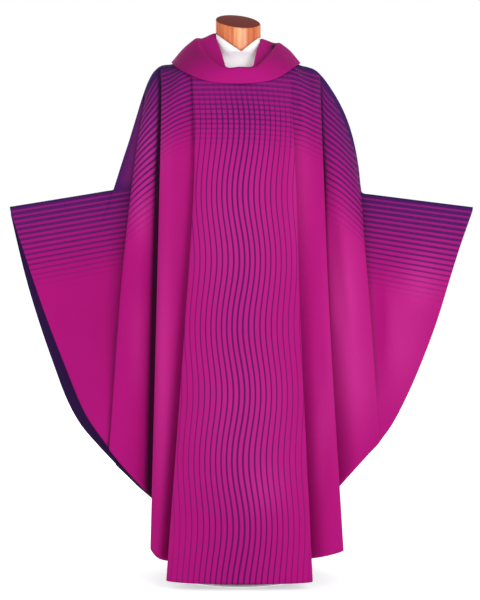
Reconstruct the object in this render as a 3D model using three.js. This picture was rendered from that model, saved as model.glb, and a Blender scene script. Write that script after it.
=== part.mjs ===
// A gothic chasuble on a limbless dress form. Millimetres, +Z up, front towards -Y.
// The origin is the middle of the stand's underside.
import * as THREE from 'three';

// ---- driving dimensions -------------------------------------------------

const WALL = 2;              // the doubled, interlined cloth
const COLLAR_WALL = 2.2;
const SEAM = 0.3;            // between pieces that meet
const ROWS = 19;             // quads from the shoulder line to the hem
const ROW_POWER = 1.55;      // crowds the rows towards the shoulder
const PER_FOLD = 2;          // columns from one fold line to the next
const STATIONS = [0, 0.2, 0.5, 1];   // parts of the drop at which the folds are given

// The shoulder line, from the neck out to the sleeve's tip: x and z on the plane y = 0.
const SHOULDER_LEFT = [
  { x: -76, z: 1338 }, { x: -172, z: 1304 }, { x: -199, z: 1300 }, { x: -218, z: 1285 },
  { x: -231, z: 1263 }, { x: -247, z: 1221 }, { x: -262, z: 1173 }, { x: -282, z: 1108 },
  { x: -301, z: 1050 }, { x: -313, z: 1006 }, { x: -316, z: 992 }, { x: -322, z: 987 },
  { x: -336, z: 984.5 }, { x: -454, z: 965 }, { x: -584, z: 944 },
];
const SHOULDER_RIGHT = [
  { x: 66, z: 1332 }, { x: 152, z: 1301 }, { x: 174, z: 1296 }, { x: 189, z: 1290 },
  { x: 206, z: 1275 }, { x: 230, z: 1243 }, { x: 257, z: 1197 }, { x: 277, z: 1149 },
  { x: 291, z: 1098 }, { x: 301, z: 1043 }, { x: 307, z: 990 }, { x: 309, z: 981 },
  { x: 315, z: 977.5 }, { x: 329, z: 975.8 }, { x: 454, z: 960 }, { x: 591, z: 943 },
];

// The neckline, from the left end of one shoulder line to that of the other.
const NECK_FRONT = [
  { x: -76, y: 0, z: 1338 }, { x: -67, y: -48, z: 1312 }, { x: -40, y: -84, z: 1276 },
  { x: -4, y: -97, z: 1258 }, { x: 32, y: -84, z: 1275 }, { x: 58, y: -48, z: 1308 },
  { x: 66, y: 0, z: 1332 },
];
const NECK_BACK = [
  { x: -76, y: 0, z: 1338 }, { x: -64, y: 46, z: 1342 }, { x: -5, y: 78, z: 1345 },
  { x: 54, y: 46, z: 1337 }, { x: 66, y: 0, z: 1332 },
];

// One row for each fold line of a panel, from left to right. top is its place on the rim:
// -1 to 1 along the neckline, and past that the metres out along the shoulder line.
// roll is the height in which the cloth turns down from the rim. x and d are the place
// and the depth in front of (or behind) the shoulder line at STATIONS, hem its lower end.
const FRONT_FOLDS = [
  { fold: 'left sleeve tuck', top: -1.212, roll: 110,
    x: [-238, -228, -256, -329], d: [14, 36, 44, 84], hem: 338 },
  { fold: 'left sleeve edge', top: -1.208, roll: 110,
    x: [-238, -263, -295, -329], d: [22, 66, 74, 86], hem: 337 },
  { fold: 'left sleeve edge', top: -1.203, roll: 110,
    x: [-237, -265, -297, -329], d: [26, 78, 86, 91], hem: 335 },
  { fold: 'left side panel', top: -1.17, roll: 110,
    x: [-218, -234, -252, -276], d: [50, 92, 97, 100], hem: 271 },
  { fold: 'left side tuck', top: -1.134, roll: 105,
    x: [-198, -172, -166, -168], d: [58, 72, 62, 38], hem: 152 },
  { fold: 'left side edge', top: -1.13, roll: 105,
    x: [-196, -198, -207, -223], d: [62, 98, 108, 122], hem: 97 },
  { fold: 'left side edge', top: -1.126, roll: 105,
    x: [-194, -200, -210, -226], d: [66, 110, 121, 135], hem: 94 },
  { fold: 'left inner panel', top: -1.085, roll: 100,
    x: [-172, -186, -192, -210], d: [80, 121, 134, 148], hem: 74 },
  { fold: 'left inner panel', top: -1, roll: 100,
    x: [-150, -156, -166, -192], d: [92, 127, 136, 146], hem: 64 },
  { fold: 'left centre tuck', top: -0.9, roll: 60,
    x: [-122, -86, -92, -128], d: [88, 116, 108, 74], hem: 46 },
  { fold: 'left centre edge', top: -0.62, roll: 55,
    x: [-121, -114, -137, -184], d: [96, 134, 152, 178], hem: 24 },
  { fold: 'left centre edge', top: -0.55, roll: 50,
    x: [-120, -115, -139, -187], d: [104, 146, 164, 190], hem: 21 },
  { fold: 'centre', top: -0.3, roll: 24,
    x: [-70, -68, -82, -110], d: [120, 151, 172, 196], hem: 15.5 },
  { fold: 'centre', top: 0, roll: 16,
    x: [-2, 0, 0, 0], d: [125, 153, 174, 198], hem: 15 },
  { fold: 'centre', top: 0.3, roll: 24,
    x: [68, 74, 84, 110], d: [121, 150, 171, 196], hem: 15.5 },
  { fold: 'right centre edge', top: 0.55, roll: 50,
    x: [120, 138, 153, 184], d: [104, 142, 162, 190], hem: 18 },
  { fold: 'right centre edge', top: 0.62, roll: 55,
    x: [123, 138, 151, 182], d: [98, 132, 150, 178], hem: 22 },
  { fold: 'right centre tuck', top: 0.85, roll: 60,
    x: [128, 112, 108, 124], d: [90, 118, 110, 76], hem: 52 },
  { fold: 'right inner panel', top: 1, roll: 100,
    x: [150, 160, 170, 192], d: [88, 120, 132, 146], hem: 71 },
  { fold: 'right inner panel', top: 1.09, roll: 100,
    x: [176, 186, 202, 228], d: [76, 114, 130, 146], hem: 79 },
  { fold: 'right side edge', top: 1.14, roll: 100,
    x: [199, 209, 225, 262], d: [60, 104, 120, 134], hem: 87 },
  { fold: 'right side edge', top: 1.145, roll: 100,
    x: [200, 208, 222, 259], d: [56, 93, 108, 122], hem: 90 },
  { fold: 'right side tuck', top: 1.15, roll: 100,
    x: [201, 184, 180, 196], d: [52, 74, 64, 40], hem: 176 },
  { fold: 'right side panel', top: 1.186, roll: 100,
    x: [224, 238, 252, 282], d: [46, 88, 96, 99], hem: 280 },
  { fold: 'right side panel', top: 1.247, roll: 100,
    x: [252, 268, 281, 305], d: [34, 74, 87, 93], hem: 305 },
  { fold: 'right side panel', top: 1.33, roll: 90,
    x: [279, 292, 303, 326], d: [24, 60, 78, 88], hem: 327 },
  { fold: 'right sleeve edge', top: 1.455, roll: 60,
    x: [305, 313, 328, 350], d: [24, 66, 80, 88], hem: 352 },
  { fold: 'right sleeve edge', top: 1.46, roll: 50,
    x: [306, 313, 328, 351], d: [20, 56, 76, 86], hem: 354 },
  { fold: 'right sleeve tuck', top: 1.464, roll: 30,
    x: [307, 291, 322, 352], d: [10, 34, 70, 84], hem: 356 },
];
const BACK_FOLDS = [
  { fold: 'left sleeve tuck', top: -1.33, roll: 90,
    x: [-272, -262, -276, -322], d: [12, 34, 44, 82], hem: 276 },
  { fold: 'left sleeve edge', top: -1.325, roll: 90,
    x: [-271, -288, -304, -323], d: [18, 58, 72, 85], hem: 274 },
  { fold: 'left sleeve edge', top: -1.32, roll: 90,
    x: [-270, -289, -306, -323], d: [22, 68, 82, 90], hem: 272 },
  { fold: 'left side panel', top: -1.25, roll: 100,
    x: [-246, -256, -270, -292], d: [36, 80, 90, 95], hem: 242 },
  { fold: 'left side panel', top: -1.18, roll: 110,
    x: [-220, -230, -238, -262], d: [48, 92, 98, 99], hem: 210 },
  { fold: 'left side tuck', top: -1.145, roll: 105,
    x: [-204, -180, -164, -172], d: [56, 74, 62, 42], hem: 150 },
  { fold: 'left side edge', top: -1.14, roll: 105,
    x: [-202, -206, -212, -228], d: [60, 97, 106, 118], hem: 92 },
  { fold: 'left side edge', top: -1.135, roll: 105,
    x: [-200, -208, -214, -230], d: [64, 108, 118, 130], hem: 89 },
  { fold: 'left inner panel', top: -1.08, roll: 100,
    x: [-176, -190, -196, -212], d: [76, 118, 130, 142], hem: 74 },
  { fold: 'left inner panel', top: -1, roll: 80,
    x: [-150, -160, -168, -194], d: [88, 122, 134, 142], hem: 64 },
  { fold: 'left centre tuck', top: -0.86, roll: 60,
    x: [-128, -96, -98, -130], d: [92, 112, 104, 76], hem: 48 },
  { fold: 'left centre edge', top: -0.66, roll: 50,
    x: [-126, -124, -140, -178], d: [98, 128, 144, 168], hem: 27 },
  { fold: 'left centre edge', top: -0.58, roll: 48,
    x: [-124, -125, -142, -180], d: [104, 139, 155, 178], hem: 24 },
  { fold: 'centre', top: -0.3, roll: 40,
    x: [-72, -74, -86, -108], d: [114, 143, 160, 182], hem: 19 },
  { fold: 'centre', top: 0, roll: 38,
    x: [-4, -2, 0, 2], d: [118, 145, 163, 184], hem: 18 },
  { fold: 'centre', top: 0.3, roll: 40,
    x: [68, 72, 86, 112], d: [114, 143, 160, 182], hem: 19 },
  { fold: 'right centre edge', top: 0.58, roll: 48,
    x: [118, 122, 142, 186], d: [104, 139, 155, 178], hem: 24 },
  { fold: 'right centre edge', top: 0.66, roll: 50,
    x: [120, 121, 140, 184], d: [98, 128, 144, 168], hem: 27 },
  { fold: 'right centre tuck', top: 0.86, roll: 60,
    x: [124, 94, 96, 134], d: [90, 112, 104, 76], hem: 50 },
  { fold: 'right inner panel', top: 1, roll: 80,
    x: [150, 158, 172, 200], d: [86, 120, 132, 142], hem: 68 },
  { fold: 'right inner panel', top: 1.085, roll: 100,
    x: [172, 188, 204, 224], d: [76, 116, 129, 141], hem: 78 },
  { fold: 'right side edge', top: 1.15, roll: 100,
    x: [202, 212, 226, 248], d: [60, 104, 118, 130], hem: 92 },
  { fold: 'right side edge', top: 1.155, roll: 100,
    x: [204, 211, 224, 246], d: [56, 93, 106, 118], hem: 95 },
  { fold: 'right side tuck', top: 1.16, roll: 100,
    x: [206, 186, 178, 190], d: [52, 72, 62, 42], hem: 176 },
  { fold: 'right side panel', top: 1.21, roll: 100,
    x: [238, 246, 256, 280], d: [42, 84, 94, 97], hem: 288 },
  { fold: 'right side panel', top: 1.31, roll: 90,
    x: [268, 280, 294, 312], d: [28, 66, 82, 90], hem: 322 },
  { fold: 'right sleeve edge', top: 1.4, roll: 70,
    x: [291, 304, 318, 338], d: [20, 60, 78, 88], hem: 350 },
  { fold: 'right sleeve edge', top: 1.405, roll: 60,
    x: [292, 303, 317, 339], d: [16, 50, 68, 84], hem: 353 },
  { fold: 'right sleeve tuck', top: 1.41, roll: 50,
    x: [293, 280, 294, 340], d: [10, 32, 46, 82], hem: 356 },
];

// The hem of each sleeve, from the last fold line's foot to the tip.
const FRONT_HEM_LEFT = [
  { x: -388, z: 419 }, { x: -444, z: 546 }, { x: -493, z: 671 }, { x: -520, z: 748 },
  { x: -553, z: 847 }, { x: -578, z: 922 },
];
const FRONT_HEM_RIGHT = [
  { x: 380, z: 392 }, { x: 416, z: 456 }, { x: 457, z: 546 }, { x: 497, z: 650 },
  { x: 536, z: 775 }, { x: 562, z: 857 }, { x: 585, z: 922 },
];
const BACK_HEM_LEFT = [
  { x: -368, z: 328 }, { x: -411, z: 382 }, { x: -441, z: 438 }, { x: -478, z: 540 },
  { x: -516, z: 656 }, { x: -548, z: 769 }, { x: -583, z: 922 },
];
const BACK_HEM_RIGHT = [
  { x: 374, z: 402 }, { x: 410, z: 467 }, { x: 450, z: 556 }, { x: 490, z: 660 },
  { x: 530, z: 782 }, { x: 557, z: 862 }, { x: 584, z: 924 },
];
// roll, depth and hemDepth are those of the cloth over the bar; elbow is the place on the rim
// where the sleeve leaves the arm, and tuckReach the share of the sleeve that the tuck draws in.
const SLEEVE = {
  armColumns: 6, topColumns: 6, roll: 14, depth: 13, hemDepth: 26, elbow: 1.468, tuckReach: 0.4,
};

// The collar: mouth, crease, top of the roll and free edge, once round the neck.
// top is the place on the neckline.
const COLLAR_FRONT = [
  { top: -1, mouth: [-65, 2, 1378], crease: [-96, -3, 1366],
    roll: [-109, -4, 1367], edge: [-173, 0, 1309] },
  { top: -0.66, mouth: [-52, -46, 1345], crease: [-82, -54, 1326],
    roll: [-91, -60, 1332], edge: [-152, -84, 1288] },
  { top: -0.34, mouth: [-39, -92, 1304], crease: [-51, -96, 1295],
    roll: [-59, -104, 1300], edge: [-98, -120, 1261] },
  { top: -0.26, mouth: [-35, -106, 1292], crease: [-39, -109, 1289],
    roll: [-45, -114, 1290], edge: [-76, -123, 1255] },
  { top: 0, mouth: [-1, -111, 1290.5], crease: [-1, -116, 1289.5],
    roll: [-2, -121, 1287], edge: [0, -125, 1249] },
  { top: 0.26, mouth: [33, -106, 1295], crease: [37, -109, 1291],
    roll: [42, -114, 1291], edge: [68, -122, 1256] },
  { top: 0.34, mouth: [36, -92, 1308], crease: [44, -96, 1297],
    roll: [52, -104, 1301], edge: [88, -118, 1262] },
  { top: 0.66, mouth: [44, -46, 1341], crease: [66, -53, 1322],
    roll: [78, -58, 1331], edge: [133, -90, 1291] },
];
const COLLAR_BACK = [
  { top: 1, mouth: [54, 2, 1366], crease: [86, -2, 1355],
    roll: [97, -3, 1357], edge: [153, 0, 1307] },
  { top: 0.5, mouth: [43, 50, 1370], crease: [60, 62, 1360],
    roll: [80, 78, 1355], edge: [124, 104, 1304] },
  { top: 0, mouth: [-5, 67, 1381], crease: [-5, 82, 1374],
    roll: [-5, 100, 1370], edge: [-5, 138, 1304] },
  { top: -0.5, mouth: [-53, 50, 1382], crease: [-72, 64, 1370],
    roll: [-90, 78, 1368], edge: [-140, 104, 1306] },
];

// How the collar swells between its roll and its edge: the share of the way down, and the
// height above the straight line.
const COLLAR_SWELL = { shoulder: { share: 0.14, lift: 4 }, fall: { share: 0.55, lift: 7 } };

// The form: half width and half depth of the torso at each height.
const NECK = { x: -5, radius: 55.5 };
const TORSO = [
  { z: 690, width: 150, depth: 92 }, { z: 720, width: 160, depth: 100 },
  { z: 780, width: 160, depth: 102 }, { z: 870, width: 152, depth: 96 },
  { z: 960, width: 146, depth: 90 }, { z: 1060, width: 156, depth: 96 },
  { z: 1160, width: 172, depth: 98 }, { z: 1220, width: 178, depth: 88 },
  { z: 1260, width: 172, depth: 72 }, { z: 1285, width: 154, depth: 58 },
  { z: 1303, width: 122, depth: 49 }, { z: 1314, width: 84, depth: 44 },
  { z: 1325, width: 62, depth: 47 }, { z: 1331, width: 55.5, depth: 53 },
];
const TORSO_SIDES = 40;
const TORSO_SQUARENESS = 2.3;        // 2 is an ellipse, which it is from ROUND.high up
const ROUND = { low: 1262, high: 1336 };
const COVER_EDGE = { front: 1332, side: 1375, tilt: -0.08, apex: 3.5 };
const CAP_TOP = { z: 1411.5, forward: 0.355, sideways: -0.11, rounding: 4, soften: 0.3 };
const POLE = { radius: 14, sides: 20 };
const BASE = { radius: 155, height: 6, sides: 48, edge: 2 };
const BAR = { radius: 6, sides: 12, below: 9.5, short: 26 };

// ---- numbers and curves -------------------------------------------------

const lerp = THREE.MathUtils.lerp;

// One value along a row of values, smooth through each of them (knots need not be even).
function through(knots, values, at) {
  let i = 0;
  while (i < knots.length - 2 && at > knots[i + 1]) i += 1;
  const slope = (k) => (values[k + 1] - values[k]) / (knots[k + 1] - knots[k]);
  const here = slope(i);
  const before = i > 0 ? slope(i - 1) : here;
  const after = i < knots.length - 2 ? slope(i + 1) : here;
  const span = knots[i + 1] - knots[i];
  const u = (at - knots[i]) / span;
  const m0 = (before + here) / 2 * span;
  const m1 = (here + after) / 2 * span;
  const u2 = u * u;
  const u3 = u2 * u;
  return (2 * u3 - 3 * u2 + 1) * values[i] + (u3 - 2 * u2 + u) * m0
    + (3 * u2 - 2 * u3) * values[i + 1] + (u3 - u2) * m1;
}

// The same over a row of points, measured along the line that joins them.
function curveThrough(points) {
  const knots = [0];
  for (let i = 1; i < points.length; i += 1) {
    knots.push(knots[i - 1] + points[i].distanceTo(points[i - 1]));
  }
  const length = knots[knots.length - 1];
  const at = (distance) => new THREE.Vector3(
    through(knots, points.map((p) => p.x), distance),
    through(knots, points.map((p) => p.y), distance),
    through(knots, points.map((p) => p.z), distance),
  );
  return { length, at };
}

// A cubic B-spline over the fold lines: it rounds each fold and never overshoots.
function blendFolds(folds, u, pick) {
  const i = Math.min(Math.floor(u), folds.length - 2);
  const f = u - i;
  const weights = [
    (1 - f) ** 3 / 6, (3 * f ** 3 - 6 * f ** 2 + 4) / 6,
    (-3 * f ** 3 + 3 * f ** 2 + 3 * f + 1) / 6, f ** 3 / 6,
  ];
  let sum = 0;
  weights.forEach((weight, k) => {
    const index = Math.min(Math.max(i - 1 + k, 0), folds.length - 1);
    sum += weight * pick(folds[index]);
  });
  return sum;
}

// A quarter ellipse: how far the cloth has turned from flat (0) to hanging (1).
function turned(fallen, roll) {
  const q = Math.min(fallen / roll, 1);
  return Math.sqrt(1 - (1 - q) ** 2);
}

const vectors = (rows) => rows.map((p) => new THREE.Vector3(p.x, p.y ?? 0, p.z));

// ---- a panel of the chasuble --------------------------------------------

// side is -1 for the front and 1 for the back. The panel answers column(u) and
// sleeve(end, s), each a function of t from the rim (0) to the hem (1).
function makePanel(side, folds, neckline, hemLeft, hemRight) {
  const left = curveThrough(vectors(SHOULDER_LEFT));
  const right = curveThrough(vectors(SHOULDER_RIGHT));
  const neck = curveThrough(vectors(neckline));

  function rim(top) {
    if (top < -1) return left.at((-1 - top) * 1000).setY(side * SEAM / 2);
    if (top > 1) return right.at((top - 1) * 1000).setY(side * SEAM / 2);
    const point = neck.at((top + 1) / 2 * neck.length);
    point.y += side * SEAM / 2;
    return point;
  }

  function topAt(u) {
    const i = Math.min(Math.floor(u), folds.length - 2);
    return lerp(folds[i].top, folds[i + 1].top, u - i);
  }

  function column(u) {
    const start = rim(topAt(u));
    const roll = blendFolds(folds, u, (f) => f.roll);
    const hem = blendFolds(folds, u, (f) => f.hem);
    const x = STATIONS.map((_, k) => blendFolds(folds, u, (f) => f.x[k]));
    const depth = STATIONS.map((_, k) => blendFolds(folds, u, (f) => f.d[k]));
    return (t) => {
      const z = lerp(start.z, hem, t);
      const turn = turned(start.z - z, roll);
      return new THREE.Vector3(
        lerp(start.x, through(STATIONS, x, t), turn),
        lerp(start.y, side * through(STATIONS, depth, t), turn),
        z,
      );
    };
  }

  // The places of the sleeve's columns: some down the arm, one at the elbow, the rest to the tip.
  function sleeveStops(end) {
    const first = Math.abs((end < 0 ? folds[0] : folds[folds.length - 1]).top);
    const last = 1 + (end < 0 ? left : right).length / 1000;
    const elbow = (SLEEVE.elbow - first) / (last - first);
    const arm = Math.max(1, Math.round(elbow * SLEEVE.armColumns));
    const stops = [];
    for (let k = 1; k <= arm; k += 1) stops.push(elbow * k / arm);
    for (let k = 1; k <= SLEEVE.topColumns; k += 1) stops.push(lerp(elbow, 1, k / SLEEVE.topColumns));
    return stops;
  }

  // The sleeve fans out from the panel's last column to the tip.
  function sleeve(end, s) {
    const inner = column(end < 0 ? 0 : folds.length - 1);
    const innerTop = inner(0);
    const innerFoot = inner(1);
    const firstTop = end < 0 ? folds[0].top : folds[folds.length - 1].top;
    const length = (end < 0 ? left : right).length / 1000;
    const top = lerp(firstTop, end * (1 + length), s);
    const start = rim(top);
    const hemPoints = vectors(end < 0 ? hemLeft : hemRight);
    const hemLine = curveThrough([innerFoot.clone().setY(0), ...hemPoints]);
    const foot = hemLine.at(hemLine.length * s);
    const tuck = Math.max(0, 1 - s / SLEEVE.tuckReach) ** 2;
    const near = (1 - s) ** 3;
    const innerRoll = end < 0 ? folds[0].roll : folds[folds.length - 1].roll;
    const above = Math.max(0, (SLEEVE.elbow - Math.abs(top)) / (SLEEVE.elbow - Math.abs(firstTop)));
    const roll = above > 0 && above <= 1 ? lerp(SLEEVE.roll, innerRoll, above ** 2) : SLEEVE.roll;
    return (t) => {
      const z = lerp(start.z, foot.z, t);
      const innerPoint = inner(t);
      const bend = innerPoint.x - lerp(innerTop.x, innerFoot.x, t);
      const depth = lerp(SLEEVE.depth, SLEEVE.hemDepth, t * (1 - s * s));
      const flat = side * depth * turned(start.z - z, roll);
      const point = new THREE.Vector3(
        lerp(start.x, foot.x, t) + bend * tuck,
        lerp(flat, innerPoint.y, near),
        z,
      );
      if (t === 0) point.y = side * SEAM / 2;
      return point;
    };
  }

  return { side, folds, topAt, column, sleeve, sleeveStops };
}

// ---- closed walls from grids --------------------------------------------

// The grid's outward side, by differences between neighbours. lines run from rim to hem.
function gridNormals(lines, closed) {
  const last = lines.length - 1;
  return lines.map((line, i) => line.map((point, j) => {
    const before = lines[closed ? (i + last) % lines.length : Math.max(i - 1, 0)][j];
    const after = lines[closed ? (i + 1) % lines.length : Math.min(i + 1, last)][j];
    const above = line[Math.max(j - 1, 0)];
    const below = line[Math.min(j + 1, line.length - 1)];
    const across = after.clone().sub(before);
    const down = below.clone().sub(above);
    return down.cross(across).normalize();
  }));
}

// A wall: the grid's points, the same points moved in by its thickness, and the rims.
function wallGeometry(outer, inner, closed) {
  const lines = outer.length;
  const rows = outer[0].length;
  const positions = [];
  [outer, inner].forEach((grid) => {
    grid.forEach((line) => line.forEach((p) => positions.push(p.x, p.y, p.z)));
  });
  const index = [];
  const half = lines * rows;
  const id = (layer, i, j) => layer * half + (i % lines) * rows + j;
  const quad = (a, b, c, d) => index.push(a, b, c, a, c, d);
  const spans = closed ? lines : lines - 1;
  for (let i = 0; i < spans; i += 1) {
    for (let j = 0; j < rows - 1; j += 1) {
      quad(id(0, i, j), id(0, i, j + 1), id(0, i + 1, j + 1), id(0, i + 1, j));
      quad(id(1, i, j), id(1, i + 1, j), id(1, i + 1, j + 1), id(1, i, j + 1));
    }
    quad(id(0, i, 0), id(0, i + 1, 0), id(1, i + 1, 0), id(1, i, 0));
    const foot = rows - 1;
    quad(id(0, i + 1, foot), id(0, i, foot), id(1, i, foot), id(1, i + 1, foot));
  }
  if (!closed) {
    const end = lines - 1;
    for (let j = 0; j < rows - 1; j += 1) {
      quad(id(0, 0, j + 1), id(0, 0, j), id(1, 0, j), id(1, 0, j + 1));
      quad(id(0, end, j), id(0, end, j + 1), id(1, end, j + 1), id(1, end, j));
    }
  }
  const geometry = new THREE.BufferGeometry();
  geometry.setAttribute('position', new THREE.Float32BufferAttribute(positions, 3));
  geometry.setIndex(index);
  geometry.computeVertexNormals();
  return geometry;
}

// ---- the two panels -----------------------------------------------------

const rowAt = (j) => (j / ROWS) ** ROW_POWER;

function panelColumns(panel) {
  const columns = [];
  const add = (line, top) => {
    const points = [];
    for (let j = 0; j <= ROWS; j += 1) points.push(line(rowAt(j)));
    columns.push({ points, top });
  };
  const body = (panel.folds.length - 1) * PER_FOLD;
  panel.sleeveStops(-1).reverse().forEach((s) => add(panel.sleeve(-1, s), -2));
  for (let k = 0; k <= body; k += 1) add(panel.column(k / PER_FOLD), panel.topAt(k / PER_FOLD));
  panel.sleeveStops(1).forEach((s) => add(panel.sleeve(1, s), 2));
  return columns;
}

function panelGeometry(panel, columns) {
  const lines = columns.map((column) => column.points);
  const normals = gridNormals(lines, false);
  const flip = panel.side;
  const inner = lines.map((line, i) => line.map((point, j) => {
    const normal = normals[i][j].clone().multiplyScalar(-flip);
    if (j === 0 && Math.abs(columns[i].top) >= 1) normal.setY(0).normalize();
    return point.clone().addScaledVector(normal, -WALL);
  }));
  if (panel.side < 0) return wallGeometry(lines, inner, false);
  return wallGeometry([...lines].reverse(), [...inner].reverse(), false);
}

// ---- the collar ---------------------------------------------------------

// The collar's rings rise from the panels' own necklines, so the seam gap is the same
// all round. From the seam the band goes up to the mouth, over and down to its free edge.
function collarGeometry(frontColumns, backColumns) {
  const neckOf = (columns) => columns.filter((column) => Math.abs(column.top) <= 1);
  const frontNeck = neckOf(frontColumns);
  const backNeck = neckOf(backColumns).reverse().slice(1, -1);
  const ring = [...frontNeck, ...backNeck];
  const stations = [...COLLAR_FRONT, ...COLLAR_BACK];
  const turn = (station) => (COLLAR_FRONT.includes(station) ? station.top : 2 - station.top);
  const knots = [...stations.map(turn), 3, turn(stations[1]) + 4];
  knots.unshift(knots[stations.length - 1] - 4);
  const looped = (key, axis) => {
    const values = stations.map((station) => station[key][axis]);
    return [values[values.length - 1], ...values, values[0], values[1]];
  };
  const tables = {};
  ['mouth', 'crease', 'roll', 'edge'].forEach((key) => {
    tables[key] = [0, 1, 2].map((axis) => looped(key, axis));
  });
  const pick = (key, at) => new THREE.Vector3(
    ...tables[key].map((values) => through(knots, values, at)),
  );
  const lines = ring.map((column, i) => {
    const at = i < frontNeck.length ? column.top : 2 - column.top;
    const seam = column.points[0].clone();
    seam.z += SEAM * 2;
    const mouth = pick('mouth', at);
    const crease = pick('crease', at);
    const roll = pick('roll', at);
    const edge = pick('edge', at);
    const leg = seam.clone().lerp(mouth, 0.5);
    const shoulder = roll.clone().lerp(edge, COLLAR_SWELL.shoulder.share);
    shoulder.z += COLLAR_SWELL.shoulder.lift;
    const fall = roll.clone().lerp(edge, COLLAR_SWELL.fall.share);
    fall.z += COLLAR_SWELL.fall.lift;
    return [seam, leg, mouth, crease, roll, shoulder, fall, edge];
  });
  const normals = gridNormals(lines, true);
  const inner = lines.map((line, i) => line.map((point, j) => {
    const outward = normals[i][j].clone();
    if (j === 0) outward.setZ(0).normalize();
    return point.clone().addScaledVector(outward, -COLLAR_WALL);
  }));
  return wallGeometry(lines, inner, true);
}

// ---- the form -----------------------------------------------------------

// A solid through closed rings, from the lowest up, with a point in the middle of each end.
function stackGeometry(rings, bottomMiddle, topMiddle) {
  const count = rings[0].length;
  const positions = [];
  rings.forEach((ring) => ring.forEach((p) => positions.push(p.x, p.y, p.z)));
  positions.push(bottomMiddle.x, bottomMiddle.y, bottomMiddle.z);
  positions.push(topMiddle.x, topMiddle.y, topMiddle.z);
  const bottom = rings.length * count;
  const top = bottom + 1;
  const index = [];
  for (let i = 0; i < count; i += 1) {
    const next = (i + 1) % count;
    for (let k = 0; k < rings.length - 1; k += 1) {
      const a = k * count + i;
      const b = k * count + next;
      index.push(a, b, b + count, a, b + count, a + count);
    }
    const roof = (rings.length - 1) * count;
    index.push(bottom, next, i);
    index.push(top, roof + i, roof + next);
  }
  const geometry = new THREE.BufferGeometry();
  geometry.setAttribute('position', new THREE.Float32BufferAttribute(positions, 3));
  geometry.setIndex(index);
  geometry.computeVertexNormals();
  return geometry;
}

function ringOf(height, halfWidth, halfDepth, squareness, middle) {
  const ring = [];
  for (let i = 0; i < TORSO_SIDES; i += 1) {
    const angle = i / TORSO_SIDES * Math.PI * 2;
    const c = Math.cos(angle);
    const s = Math.sin(angle);
    const x = middle + halfWidth * Math.sign(c) * Math.abs(c) ** (2 / squareness);
    const y = halfDepth * Math.sign(s) * Math.abs(s) ** (2 / squareness);
    ring.push(new THREE.Vector3(x, y, typeof height === 'number' ? height : height(x, y)));
  }
  return ring;
}

// The white cover ends in a shallow V at the front of the neck and level behind.
function coverEdge(x, y) {
  const side = x < COVER_EDGE.apex ? -1 : 1;
  const reach = NECK.radius + side * (NECK.x - COVER_EDGE.apex);
  const out = Math.min(Math.abs(x - COVER_EDGE.apex) / reach, 1);
  const level = COVER_EDGE.side + COVER_EDGE.tilt * (x - NECK.x);
  return y < 0 ? lerp(COVER_EDGE.front, level, out) : level;
}

function neckTop(x, y) {
  return CAP_TOP.z + CAP_TOP.forward * y + CAP_TOP.sideways * (x - NECK.x);
}

function torsoGeometry() {
  const rings = TORSO.map((row) => {
    const risen = THREE.MathUtils.clamp((row.z - ROUND.low) / (ROUND.high - ROUND.low), 0, 1);
    const squareness = lerp(TORSO_SQUARENESS, 2, risen);
    return ringOf(row.z, row.width, row.depth, squareness, NECK.x * risen);
  });
  rings.push(ringOf(coverEdge, NECK.radius, NECK.radius, 2, NECK.x));
  const floor = new THREE.Vector3(0, 0, TORSO[0].z);
  const top = new THREE.Vector3(NECK.x, 0, COVER_EDGE.front);
  return stackGeometry(rings, floor, top);
}

function capGeometry() {
  const { rounding, soften } = CAP_TOP;
  const neckRing = (height, by, inset) => ringOf(
    (x, y) => height(x, y) + by, NECK.radius - inset, NECK.radius - inset, 2, NECK.x,
  );
  const rings = [
    neckRing(coverEdge, SEAM, 0),
    neckRing(neckTop, -rounding, 0),
    neckRing(neckTop, -rounding * soften, rounding * soften),
    neckRing(neckTop, 0, rounding),
  ];
  const bottom = new THREE.Vector3(NECK.x, 0, COVER_EDGE.front + SEAM);
  const top = new THREE.Vector3(NECK.x, 0, CAP_TOP.z);
  return stackGeometry(rings, bottom, top);
}

function discRings(radius, sides, heights) {
  return heights.map(({ z, inset }) => {
    const ring = [];
    for (let i = 0; i < sides; i += 1) {
      const angle = i / sides * Math.PI * 2;
      ring.push(new THREE.Vector3(
        (radius - inset) * Math.cos(angle), (radius - inset) * Math.sin(angle), z,
      ));
    }
    return ring;
  });
}

function poleGeometry() {
  const low = BASE.height + SEAM;
  const high = TORSO[0].z - SEAM;
  const rings = discRings(POLE.radius, POLE.sides, [{ z: low, inset: 0 }, { z: high, inset: 0 }]);
  return stackGeometry(rings, new THREE.Vector3(0, 0, low), new THREE.Vector3(0, 0, high));
}

function baseGeometry() {
  const rings = discRings(BASE.radius, BASE.sides, [
    { z: 0, inset: 0 }, { z: BASE.height - BASE.edge, inset: 0 }, { z: BASE.height, inset: BASE.edge },
  ]);
  return stackGeometry(rings, new THREE.Vector3(0, 0, 0), new THREE.Vector3(0, 0, BASE.height));
}

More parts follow.
